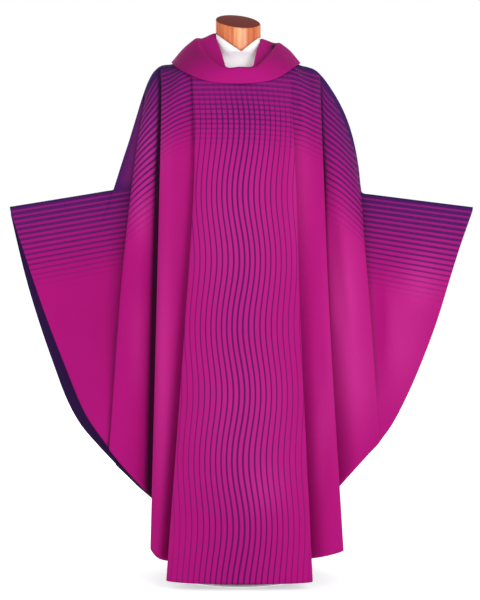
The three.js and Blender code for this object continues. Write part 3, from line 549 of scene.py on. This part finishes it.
def fold_weights(count, places):
    """Cubic B-spline weights of the fold lines at each place: one row a place."""
    i = np.minimum(np.floor(places).astype(int), count - 2)
    f = places - i
    parts = (
        (1 - f) ** 3 / 6, (3 * f**3 - 6 * f**2 + 4) / 6,
        (-3 * f**3 + 3 * f**2 + 3 * f + 1) / 6, f**3 / 6,
    )
    weights = np.zeros((len(places), count))
    for k, part in enumerate(parts):
        np.add.at(weights, (np.arange(len(places)), np.clip(i - 1 + k, 0, count - 1)), part)
    return weights


def turned(fallen, roll):
    """A quarter ellipse: how far the cloth has turned from flat (0) to hanging (1)."""
    share = np.clip(fallen / roll, 0, 1)
    return np.sqrt(1 - (1 - share) ** 2)


def in_space(points, y=0.0):
    return np.array([(x, y, z) for x, z in points], float)


def panel_grid(side, fold_rows, neckline, hems):
    """Points of a panel, column by column from the rim to the hem, and what its cloth carries
    there: the first six of MARKS."""
    left_length, left = curve_through(in_space(SHOULDER_LEFT))
    right_length, right = curve_through(in_space(SHOULDER_RIGHT))
    neck_length, neck = curve_through(neckline)
    table = {
        name: np.array([row[k] for row in fold_rows], float)
        for k, name in enumerate(FOLD_COLUMNS)
    }
    count = len(fold_rows)
    t = (np.arange(ROWS + 1) / ROWS) ** ROW_POWER

    def rim(tops):
        points = np.empty((len(tops), 3))
        for k, top in enumerate(tops):
            if top < -1:
                points[k] = left((-1 - top) * 1000)[0]
            elif top > 1:
                points[k] = right((top - 1) * 1000)[0]
            else:
                points[k] = neck((top + 1) / 2 * neck_length)[0]
        points[:, 1] += side * SEAM / 2
        return points

    def columns(places):
        weights = fold_weights(count, places)
        tops = np.interp(places, np.arange(count), table["top"])
        start = rim(tops)
        roll, hem = weights @ table["roll"], weights @ table["hem"]
        x = through(STATIONS, (weights @ table["x"]).T, t).T
        depth = through(STATIONS, (weights @ table["depth"]).T, t).T
        z = lerp(start[:, 2:3], hem[:, None], t[None, :])
        turn = turned(start[:, 2:3] - z, roll[:, None])
        points = np.stack(
            [lerp(start[:, 0:1], x, turn), lerp(start[:, 1:2], side * depth, turn), z], axis=2
        )
        first, last, pitch, hollow = (
            (weights @ table[key])[:, None] for key in ("first", "last", "pitch", "hollow")
        )
        number = LAST_STRIPE - (z - last) / pitch
        # How much painted shade each fold gets, by height.
        opening = lerp(FOLD_SHADE_BY_HEIGHT["at_top"], 1, np.clip((FOLD_SHADE_BY_HEIGHT["top"] - z) / FOLD_SHADE_BY_HEIGHT["drop"], 0, 1))
        closing = np.clip((z - FOLD_SHADE_BY_HEIGHT["foot"]) / FOLD_SHADE_BY_HEIGHT["rise"], FOLD_SHADE_BY_HEIGHT["at_foot"], 1)
        on_sleeve = np.abs(tops[:, None]) > FOLD_SHADE_BY_HEIGHT["sleeve_from"]
        hollow = hollow * np.where(on_sleeve, closing, opening)
        contrast = np.interp(np.abs(tops), *STRIPE_CONTRAST)[:, None]
        lined = (tops > LINES_FROM) & (tops < LINES_TO)
        line_drop = np.where(lined, LINE_TOP, -LINE_TOP)[:, None] - z
        return points, np.stack([
            number, (first - z) / (first - last), hollow, contrast + 0 * z, 0 * z, line_drop,
        ])

    def sleeve(end, shares):
        inner, _ = columns(np.array([0.0 if end < 0 else count - 1.0]))
        inner = inner[0]
        row = 0 if end < 0 else -1
        first_top, inner_roll = table["top"][row], table["roll"][row]
        length = (left_length if end < 0 else right_length) / 1000
        tops = lerp(first_top, end * (1 + length), shares)
        start = rim(tops)
        foot_line = np.concatenate([[inner[-1] * (1, 0, 1)], in_space(hems[0 if end < 0 else 1])])
        foot_length, foot = curve_through(foot_line)
        feet = foot(foot_length * shares)
        s = shares[:, None]
        tuck = np.maximum(0, 1 - s / SLEEVE["tuck_reach"]) ** 2
        above = ((SLEEVE["elbow"] - np.abs(tops)) / (SLEEVE["elbow"] - abs(first_top)))[:, None]
        roll = lerp(SLEEVE["roll"], inner_roll, np.clip(above, 0, 1) ** 2)
        z = lerp(start[:, 2:3], feet[:, 2:3], t[None, :])
        bend = (inner[:, 0] - lerp(inner[0, 0], inner[-1, 0], t))[None, :]
        depth = lerp(SLEEVE["depth"], SLEEVE["hem_depth"], t[None, :] * (1 - s * s))
        flat = side * depth * turned(start[:, 2:3] - z, roll)
        x = lerp(start[:, 0:1], feet[:, 0:1], t[None, :]) + bend * tuck
        points = np.stack([x, lerp(flat, inner[None, :, 1], (1 - s) ** 3), z], axis=2)
        points[:, 0, 1] = side * SEAM / 2
        lines = SLEEVE_STRIPES[end]
        tip_x, tip_z = lines["tip"]
        away = np.abs(points[..., 0] - tip_x)
        pitch = lerp(*lines["pitch"], np.clip(away / SLEEVE_RUN, 0, 1))
        number = (tip_z + lines["rise"] * away - z) / pitch
        # Painted shade beside the body, and a painted shadow line along the edge of the last fold.
        painted_side_shade = SLEEVE_SHADE["share"][end] * np.maximum(
            0, 1 - s / SLEEVE_SHADE["reach"][end]
        ) * np.clip((z - SLEEVE_SHADE["foot"]) / SLEEVE_SHADE["rise"], 0, 1)
        last_fold = FOLD_SHADOW_LINE["fold"]
        edge, _ = columns(np.array([last_fold if end < 0 else count - 1 - last_fold]))
        edge_x = np.interp(z, edge[0, ::-1, 2], edge[0, ::-1, 0])
        outside = np.maximum(0, np.abs(x) - np.abs(edge_x) - FOLD_SHADOW_LINE["off"])
        drawn = np.exp(-((outside / FOLD_SHADOW_LINE["width"][end]) ** 2)) * np.clip(
            (z - FOLD_SHADOW_LINE["foot"][end]) / FOLD_SHADOW_LINE["rise"], 0, 1
        )
        hollow = lerp(SHADE_PAINT_FROM, SHADE_PAINT_TO, np.maximum(painted_side_shade, FOLD_SHADOW_LINE["share"][end] * drawn))
        arm = np.array(SHOULDER_LEFT if end < 0 else SHOULDER_RIGHT, float)[::-1]
        arm_x = np.interp(z, arm[:, 1], arm[:, 0])
        fold_x = np.interp(z, inner[::-1, 2], inner[::-1, 0])
        across = (x - fold_x) / np.where(np.abs(arm_x - fold_x) < 1, end, arm_x - fold_x)
        # A painted highlight streak down the strip by the arm.
        streak = np.exp(-(((across - ARM_HIGHLIGHT["middle"]) / ARM_HIGHLIGHT["width"]) ** 2))
        streak *= np.clip((z - ARM_HIGHLIGHT["foot"]) / ARM_HIGHLIGHT["rise"], 0, 1)
        faded = number / lines["count"]
        contrast = lines["contrast"] * (1 - SLEEVE_PALING * np.clip(faded, 0, 1))
        return points, np.stack([number, faded, hollow, contrast, streak, 0 * z + NO_LINE])

    def sleeve_shares(end):
        row = 0 if end < 0 else -1
        first = abs(table["top"][row])
        length = (left_length if end < 0 else right_length) / 1000
        elbow = (SLEEVE["elbow"] - first) / (1 + length - first)
        arm = max(3, round(elbow * ARM_COLUMNS))
        return np.concatenate([
            elbow * np.arange(1, arm + 1) / arm,
            lerp(elbow, 1, (np.arange(1, TIP_COLUMNS + 1) / TIP_COLUMNS) ** TIP_POWER),
        ])

    body, body_marks = columns(np.linspace(0, count - 1, (count - 1) * COLUMNS_PER_FOLD + 1))
    left_part, left_marks = sleeve(-1, sleeve_shares(-1))
    right_part, right_marks = sleeve(1, sleeve_shares(1))
    grid = np.concatenate([left_part[::-1], body, right_part])
    marks = np.concatenate([left_marks[:, ::-1], body_marks, right_marks], axis=1)
    return grid, marks


def grid_normals(grid, closed=False):
    """Unit normals of a grid, towards whoever sees its columns run from left to right and
    its rows run down."""
    if closed:
        across = np.roll(grid, -1, axis=0) - np.roll(grid, 1, axis=0)
    else:
        across = np.gradient(grid, axis=0)
    down = np.gradient(grid, axis=1)
    normal = np.cross(down, across)
    return normal / np.linalg.norm(normal, axis=2, keepdims=True)


def cloth_shell(name, outer, inner, closed, materials):
    """A closed wall between two grids. Its inner faces take materials[1], all others
    materials[0]."""
    lines, rows = outer.shape[:2]
    points = np.concatenate([outer.reshape(-1, 3), inner.reshape(-1, 3)])
    half = lines * rows
    spans = lines if closed else lines - 1
    i, j = np.meshgrid(np.arange(spans), np.arange(rows - 1), indexing="ij")
    i, j = i.ravel(), j.ravel()
    after = (i + 1) % lines
    here = [i * rows + j, i * rows + j + 1, after * rows + j + 1, after * rows + j]
    face = np.stack(here, axis=1)
    lining = np.stack(here[::-1], axis=1) + half
    k = np.arange(spans)
    along = (k + 1) % lines
    head = np.stack([k * rows, along * rows, along * rows + half, k * rows + half], axis=1)
    foot = np.stack([along * rows, k * rows, k * rows + half, along * rows + half], axis=1)
    foot += rows - 1
    faces = [face, head, foot]
    if not closed:
        j = np.arange(rows - 1)
        end = (lines - 1) * rows
        faces.append(np.stack([j + 1, j, j + half, j + 1 + half], axis=1))
        faces.append(np.stack([end + j, end + j + 1, end + j + 1 + half, end + j + half], axis=1))
    outside = np.concatenate(faces)
    made = smooth_mesh(name, points, np.concatenate([outside, lining]).tolist(), materials)
    slots = np.concatenate([np.zeros(len(outside), int), np.ones(len(lining), int)])
    made.data.polygons.foreach_set("material_index", slots)
    return made


def carry(made, name, values):
    """Stores one number for each point of both layers of a shell."""
    data = made.data.attributes.new(name, "FLOAT", "POINT")
    data.data.foreach_set("value", np.tile(np.asarray(values, np.float32).ravel(), 2))


# Wool twill: a fine diagonal rib with soft slubs, and a slow change of tone.
weave = bpy.data.node_groups.new("wool_weave", "ShaderNodeTree")
weave.interface.new_socket("Vector", in_out="INPUT", socket_type="NodeSocketVector")
for output in ("Height", "Tone", "Slub"):
    weave.interface.new_socket(output, in_out="OUTPUT", socket_type="NodeSocketFloat")
weave_in = weave.nodes.new("NodeGroupInput")
weave_out = weave.nodes.new("NodeGroupOutput")
rib = add(weave, "ShaderNodeTexWave", Scale=420.0, Distortion=0.6, Detail=1.0)
rib.bands_direction = "DIAGONAL"
slub = add(weave, "ShaderNodeTexNoise", Scale=160.0, Detail=3.0)
tone = add(weave, "ShaderNodeTexNoise", Scale=3.2, Detail=3.0)
for texture in (rib, slub, tone):
    weave.links.new(weave_in.outputs["Vector"], texture.inputs["Vector"])
weave.links.new(
    maths(weave, "MULTIPLY_ADD", rib.outputs["Fac"], 0.6, slub.outputs["Fac"]),
    weave_out.inputs["Height"],
)
for name, texture in (("Tone", tone), ("Slub", slub)):
    weave.links.new(texture.outputs["Fac"], weave_out.inputs[name])


def woven(tree, shader, depth):
    """Places the weave in a material: bumps the shader's normal, gives its tone and slubs."""
    group = tree.nodes.new("ShaderNodeGroup")
    group.node_tree = weave
    placed(tree, group)
    bumped(tree, shader, group.outputs["Height"], 0.35, depth)
    return group.outputs["Tone"], group.outputs["Slub"]


def carried(tree, name):
    """The number that the mesh carries under that name."""
    node = tree.nodes.new("ShaderNodeAttribute")
    node.attribute_name = name
    return node.outputs["Fac"]


MAGENTA_DEEP = colour(150, 3, 101)
MAGENTA_LIT = colour(168, 8, 114)
# Painted light: the paler magenta where the cloth is painted as if lit.
MAGENTA_PAINTED_LIGHT = colour(186, 42, 134)
DUSK = colour(124, 20, 106)          # the ground between the uppermost stripes
VIOLET = colour(56, 14, 86)
# Painted highlight: the paler violet of the stripes in the streak beside the arm.
VIOLET_HIGHLIGHT = colour(112, 28, 108)
LINE_VIOLET = colour(58, 6, 84)
PAINTED_SHADE_COLOUR = colour(24, 5, 32)           # painted shade deep in the folds


def clamped(tree, value):
    return maths(tree, "MINIMUM", maths(tree, "MAXIMUM", value, 0.0), 1.0)


# How much of a stripe's pitch is dark: at the last stripe, and how much more at the first.
# How much of DUSK the ground takes at the first. How much of a line's pitch is dark: at the
# middle line, and the change from there to each next one.
STRIPE_SHARE = {"last": 0.27, "more": 0.42, "power": 1.2}
DUSK_SHARE = {"first": 0.9, "power": 1.8}
LINE_SHARE = {"middle": 0.37, "step": -0.026, "strength": 0.88}
# How much of the painted shade colour the deepest folds take.
PAINTED_SHADE_SHARE = 0.9
EDGE_SHARPNESS = 7.0         # of the stripes and the lines, per pitch

cloth, cloth_tree, cloth_shader = new_material("chasuble_cloth")
calc, blend, limit, mark_value = (
    partial(tool, cloth_tree) for tool in (maths, blend_colours, clamped, carried)
)
cloth_tone, cloth_slub = woven(cloth_tree, cloth_shader, 0.0006)
ground = blend(cloth_tone, MAGENTA_DEEP, MAGENTA_LIT)
# Painted light: the ground turns paler in patches, as if lit.
ground = blend(limit(mark_value("lit")), ground, MAGENTA_PAINTED_LIGHT)
# The graded stripes: the share of each that is dark falls from the first to the last, and
# the ground brightens with it. Above the first the cloth is wholly dark.
left = calc("SUBTRACT", 1.0, limit(mark_value("stripe_fade")))
dusk_share = calc("MULTIPLY", calc("POWER", left, DUSK_SHARE["power"]), DUSK_SHARE["first"])
ground = blend(dusk_share, ground, DUSK)
dark_share = calc(
    "MULTIPLY_ADD", calc("POWER", left, STRIPE_SHARE["power"]), STRIPE_SHARE["more"],
    STRIPE_SHARE["last"],
)
phase = calc("FRACT", mark_value("stripe"))
from_middle = calc("ABSOLUTE", calc("SUBTRACT", phase, 0.5))
edge = calc("SUBTRACT", calc("MULTIPLY", dark_share, 0.5), from_middle)
stripe = limit(calc("MULTIPLY_ADD", edge, EDGE_SHARPNESS, 0.5))
present = limit(calc("MULTIPLY", left, 3.0))
slubbed = calc("MULTIPLY_ADD", cloth_slub, 0.5, 0.75)
strength = calc("MULTIPLY", mark_value("contrast"), slubbed)
stripe = calc("MULTIPLY", calc("MULTIPLY", stripe, present), strength)
above_first = limit(calc("MULTIPLY_ADD", mark_value("stripe_fade"), -60.0, 2.1))
stripe = calc("MAXIMUM", stripe, above_first)
# Beside the arm the stripes turn paler in a painted highlight streak.
striped = blend(stripe, ground, blend(mark_value("streak"), VIOLET, VIOLET_HIGHLIGHT))
# The wavy lines down the middle: widest in the centre, and finer outwards.
line = mark_value("line")
line_number = calc("ROUND", line)
line_rank = calc("ABSOLUTE", line_number)
line_share = calc("MULTIPLY_ADD", line_rank, LINE_SHARE["step"], LINE_SHARE["middle"])
off_line = calc("ABSOLUTE", calc("SUBTRACT", line, line_number))
line_edge = calc("SUBTRACT", calc("MULTIPLY", line_share, 0.5), off_line)
wavy = limit(calc("MULTIPLY_ADD", line_edge, EDGE_SHARPNESS, 0.5))
lower = calc("MULTIPLY", calc("POWER", line_rank, 2.0), LINE_STAGGER)
below = calc("SUBTRACT", mark_value("line_drop"), lower)
begun = limit(calc("DIVIDE", below, LINE_GROWTH))
inside = limit(calc("SUBTRACT", LINES_A_SIDE + 1, line_rank))
wavy = calc("MULTIPLY", calc("MULTIPLY", wavy, begun), inside)
lined = blend(calc("MULTIPLY", wavy, LINE_SHARE["strength"]), striped, LINE_VIOLET)
# Painted shade: the colour darkens deep in the folds.
beyond = calc("SUBTRACT", mark_value("hollow"), SHADE_PAINT_FROM)
hollow = limit(calc("DIVIDE", beyond, SHADE_PAINT_TO - SHADE_PAINT_FROM))
shaded = blend(calc("MULTIPLY", hollow, PAINTED_SHADE_SHARE), lined, PAINTED_SHADE_COLOUR)
cloth_tree.links.new(shaded, cloth_shader.inputs["Base Color"])
fill(cloth_shader, Roughness=0.8, Specular_IOR_Level=0.12)

lining, lining_tree, lining_shader = new_material("chasuble_wrong_side")
lining_tone, _ = woven(lining_tree, lining_shader, 0.0005)
toned(lining_tree, lining_shader, lining_tone, colour(36, 10, 56), colour(56, 20, 86))
fill(lining_shader, Roughness=0.8, Specular_IOR_Level=0.15)


# What each point of a panel carries: the stripe's number, how far the stripes have faded, how
# much painted shade the fold gets, how strong the stripes are, the painted highlight streak beside
# the arm, the height below the wavy lines' beginning, the wavy line's number, and how much painted
# light it gets.
MARKS = ("stripe", "stripe_fade", "hollow", "contrast", "streak", "line_drop", "line", "lit")
# Soft creases: the ends (x and z), the half width, and the height, which is below 0 for a
# trough. They die away at both ends.
CREASES = {
    "front_panel": [
        ((168, 1262), (176, 1090), 9, -4.0), ((186, 1268), (192, 1060), 8, 3.0),
        ((138, 1240), (146, 1120), 8, -3.0), ((-150, 1255), (-158, 980), 16, -3.5),
        ((-176, 1240), (-182, 700), 12, 3.0), ((226, 960), (262, 600), 16, -5.0),
        ((262, 900), (300, 520), 20, 4.0), ((-236, 1010), (-262, 480), 18, 4.0),
        ((-212, 820), (-226, 330), 12, -3.5), ((196, 700), (214, 180), 15, -5.0),
        ((-110, 868), (96, 846), 12, 2.0), ((-120, 452), (140, 430), 14, -2.4),
        ((-130, 278), (60, 296), 13, 2.4), ((60, 560), (150, 500), 18, 2.6),
        ((-400, 860), (-380, 500), 40, 4.0), ((-480, 880), (-440, 640), 30, -3.0),
        ((420, 900), (392, 520), 34, 4.0), ((492, 880), (455, 640), 28, -3.5),
        ((-40, 250), (-34, 40), 22, 2.6), ((70, 240), (84, 40), 18, -2.4),
        ((344, 760), (366, 470), 20, -6.0), ((404, 640), (400, 470), 22, 3.0),
    ],
    "back_panel": [
        ((0, 1296), (-6, 900), 20, -4.0), ((-40, 1280), (-70, 880), 16, 3.5),
        ((44, 1282), (66, 900), 16, 3.0), ((-150, 1250), (-162, 900), 16, -4.0),
        ((154, 1250), (166, 860), 16, -4.0), ((-240, 1000), (-262, 520), 18, 4.0),
        ((252, 1000), (282, 520), 18, 4.5), ((-214, 720), (-228, 260), 13, -4.0),
        ((200, 700), (216, 240), 14, -4.5), ((-110, 700), (100, 680), 14, 2.2),
        ((-130, 360), (120, 384), 14, -2.4), ((-410, 880), (-380, 470), 40, 4.0),
        ((408, 890), (386, 500), 38, 4.5), ((-486, 890), (-450, 620), 28, -3.5),
        ((490, 884), (452, 640), 28, -3.5), ((-30, 300), (-34, 40), 22, 3.0),
    ],
}
# Painted light: patches where the cloth is painted paler, as if lit: x, z, half width, half
# height, and how pale. A number below 0 takes from the others.
PAINTED_LIGHT_PATCHES = [
    (262, 690, 42, 210, 0.8), (405, 610, 70, 150, 0.5), (300, 480, 46, 110, 0.4),
    (455, 760, 40, 70, 0.45), (0, 900, 120, 240, 0.42), (10, 420, 120, 220, 0.4),
    (60, 250, 60, 60, 0.3), (-246, 930, 26, 70, 0.55), (-254, 610, 22, 120, 0.25),
    (-226, 1130, 40, 130, 1.0), (150, 1000, 26, 160, 0.35), (-190, 560, 24, 320, 0.5),
    (212, 420, 20, 120, 0.3), (505, 800, 55, 110, 0.35), (357, 630, 17, 115, -0.42),
]
CREASE_RIM = 60              # the height below the rim over which creases come up
CREASE_TAPER = 0.25          # the part of its length in which a crease dies away

for name, side, folds, neckline, hems, held_by in (
    ("front_panel", -1, FRONT_FOLDS, NECK_FRONT, (FRONT_HEM_LEFT, FRONT_HEM_RIGHT), "front"),
    ("back_panel", 1, BACK_FOLDS, NECK_BACK, (BACK_HEM_LEFT, BACK_HEM_RIGHT), "back"),
):
    grid, marks = panel_grid(side, folds, neckline, hems)
    reach = np.clip((grid[:, :1, 2] - grid[..., 2]) / CREASE_RIM, 0, 1)
    for start, end, width, height in CREASES[name]:
        run = np.subtract(end, start)
        span = np.linalg.norm(run)
        dx, dz = grid[..., 0] - start[0], grid[..., 2] - start[1]
        along = (dx * run[0] + dz * run[1]) / span**2
        aside = (dx * run[1] - dz * run[0]) / span / width
        ends = np.clip(np.minimum(along, 1 - along) / CREASE_TAPER, 0, 1)
        grid[..., 1] += side * height * np.exp(-aside**2) * ends * ends * (3 - 2 * ends) * reach
    # Painted light, summed over the patches.
    lit = sum(
        amount * np.exp(-((grid[..., 0] - x) / wide) ** 2 - ((grid[..., 2] - z) / high) ** 2)
        for x, z, wide, high, amount in PAINTED_LIGHT_PATCHES
    )
    normals = grid_normals(grid) * -side
    flat_rim = normals[:, 0].copy()
    on_shoulder = np.abs(grid[:, 0, 1]) < SEAM
    flat_rim[on_shoulder, 1] = 0
    normals[:, 0] = flat_rim / np.linalg.norm(flat_rim, axis=1, keepdims=True)
    inner_grid = grid - normals * WALL
    x, z = grid[..., 0], grid[..., 2]
    wave = LINE_WAVE["reach"] * np.cos(
        2 * np.pi * (LINE_WAVE["rightmost"] - z) / LINE_WAVE["length"]
    ) * (1 - LINE_WAVE["calming"] * np.clip(np.abs(x) / LINE_WAVE["outermost"], 0, 1))
    pitch = lerp(
        LINE_PITCH["high"], LINE_PITCH["low"],
        np.clip((LINE_PITCH["from"] - z) / LINE_PITCH["from"], 0, 1),
    )
    marks = np.concatenate([marks, [(x - LINE_MIDDLE - wave) / pitch, lit]])
    if side > 0:
        grid, inner_grid, marks = grid[::-1], inner_grid[::-1], marks[:, ::-1]
    panel = cloth_shell(name, grid, inner_grid, False, [cloth, lining])
    for mark, values in zip(MARKS, marks):
        carry(panel, mark, values)
    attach(panel, "root")
    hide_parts(held_by)

# ---- collar ----
# A tall plain band of the same magenta wool stands up from the neckline, rolls over at its
# mouth and falls to a free edge on the shoulders. It is sewn to both panels at the neck.

COLLAR_WALL = 2.2
# How dark the painted shade is in the inside crease, the gape on the right and on the falls
# over the shoulders.
# Rows count from the seam, and turns go round the neck from the front. Each fall has its
# middle and width in turns, and its share.
CREASE_SHADE = {
    "row": 3, "row_width": 0.34, "left": 0.2, "right": 0.34, "from": 0.2, "rise": 0.12,
    "to": 1.3,
}
GAPE_SHADE = {"turn": 0.9, "turn_width": 0.075, "row": 3.25, "row_width": 0.36, "share": 0.95}
FALL_SHADE = {"row": 3.6, "over": 1.2, "left": (0.66, 0.34, 0.37), "right": (0.66, 0.3, 0.17)}
# Where between roll and free edge the falling half swells, and by how much.
COLLAR_SWELL = {"shoulder": (0.14, 4), "fall": (0.55, 7)}
COLLAR_TURNS = 144
COLLAR_ROWS = 6              # rows of faces between two of the collar's lines
COLLAR_STATIONS = [          # turn, mouth, crease, roll, edge
    (-1, (-65, 2, 1378), (-96, -3, 1366), (-109, -4, 1367), (-173, 0, 1309)),
    (-0.66, (-52, -46, 1345), (-82, -54, 1326), (-91, -60, 1332), (-152, -84, 1288)),
    (-0.34, (-39, -92, 1304), (-51, -96, 1295), (-59, -104, 1300), (-98, -120, 1261)),
    (-0.26, (-35, -106, 1292), (-39, -109, 1289), (-45, -114, 1290), (-76, -123, 1255)),
    (0, (-1, -111, 1290.5), (-1, -116, 1289.5), (-2, -121, 1287), (0, -125, 1249)),
    (0.26, (33, -106, 1295), (37, -109, 1291), (42, -114, 1291), (68, -122, 1256)),
    (0.34, (36, -92, 1308), (44, -96, 1297), (52, -104, 1301), (88, -118, 1262)),
    (0.66, (44, -46, 1341), (66, -53, 1322), (78, -58, 1331), (133, -90, 1291)),
    (1, (54, 2, 1366), (86, -2, 1355), (97, -3, 1357), (153, 0, 1307)),
    (1.5, (43, 50, 1370), (60, 62, 1360), (80, 78, 1355), (124, 104, 1304)),
    (2, (-5, 67, 1381), (-5, 82, 1374), (-5, 100, 1370), (-5, 138, 1304)),
    (2.5, (-53, 50, 1382), (-72, 64, 1370), (-90, 78, 1368), (-140, 104, 1306)),
]

turns = np.linspace(-1, 3, COLLAR_TURNS, endpoint=False)
station_turns = np.array([row[0] for row in COLLAR_STATIONS])
looped_turns = np.concatenate([[station_turns[-1] - 4], station_turns, [3, station_turns[1] + 4]])


def around(index):
    values = np.array([row[index] for row in COLLAR_STATIONS], float)
    values = np.concatenate([values[-1:], values, values[:2]])
    return through(looped_turns, values, turns)


mouth, crease, roll, free_edge = (around(k) for k in (1, 2, 3, 4))
neck_length, neck_front = curve_through(NECK_FRONT)
back_length, neck_back = curve_through(NECK_BACK)
in_front = turns <= 1
seam = np.where(
    in_front[:, None],
    neck_front((turns + 1) / 2 * neck_length),
    neck_back((3 - turns) / 2 * back_length),
)
seam[:, 1] += np.where(in_front, -1, 1) * SEAM / 2
seam[:, 2] += SEAM * 2
shoulder = lerp(roll, free_edge, COLLAR_SWELL["shoulder"][0])
shoulder[:, 2] += COLLAR_SWELL["shoulder"][1]
fall = lerp(roll, free_edge, COLLAR_SWELL["fall"][0])
fall[:, 2] += COLLAR_SWELL["fall"][1]
section = np.stack(
    [seam, lerp(seam, mouth, 0.5), mouth, crease, roll, shoulder, fall, free_edge], axis=1
)
steps = np.linspace(0, section.shape[1] - 1, (section.shape[1] - 1) * COLLAR_ROWS + 1)
collar_grid = np.stack([
    through(np.arange(section.shape[1]), line_points, steps) for line_points in section
])
collar_normals = grid_normals(collar_grid, closed=True)
collar_inner = collar_grid - collar_normals * COLLAR_WALL

collar_cloth, collar_tree, collar_shader = new_material("collar_cloth")
collar_tone, _ = woven(collar_tree, collar_shader, 0.0006)
collar_ground = blend_colours(collar_tree, collar_tone, colour(154, 4, 104), colour(176, 10, 120))
collar_shade = clamped(collar_tree, carried(collar_tree, "hollow"))
toned(collar_tree, collar_shader, collar_shade, collar_ground, PAINTED_SHADE_COLOUR)
fill(collar_shader, Roughness=0.76, Specular_IOR_Level=0.14)
collar_band = cloth_shell(
    "collar_band", collar_grid, collar_inner, True, [collar_cloth, collar_cloth]
)
# Painted shade: the crease inside the roll is darkened, most of all where it gapes on the
# right, and the falls over the shoulders are darkened as if in shade, the left one more.
row_place = steps[None, :]
turn_place = turns[:, None]
from_front = np.abs(turn_place)
in_crease = np.exp(-((row_place - CREASE_SHADE["row"]) / CREASE_SHADE["row_width"]) ** 2) * np.clip(
    (from_front - CREASE_SHADE["from"]) / CREASE_SHADE["rise"], 0, 1
) * (from_front < CREASE_SHADE["to"]) * np.where(
    turn_place < 0, CREASE_SHADE["left"], CREASE_SHADE["right"]
)
gape = GAPE_SHADE["share"] * np.exp(
    -((turn_place - GAPE_SHADE["turn"]) / GAPE_SHADE["turn_width"]) ** 2
    - ((row_place - GAPE_SHADE["row"]) / GAPE_SHADE["row_width"]) ** 2
)
falls = sum(
    share * np.exp(-((end * turn_place - middle) / width) ** 2)
    for end, (middle, width, share) in ((-1, FALL_SHADE["left"]), (1, FALL_SHADE["right"]))
) * np.clip((row_place - FALL_SHADE["row"]) / FALL_SHADE["over"], 0, 1)
carry(collar_band, "hollow", in_crease + gape + falls)
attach(collar_band, "root")
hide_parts("collar")
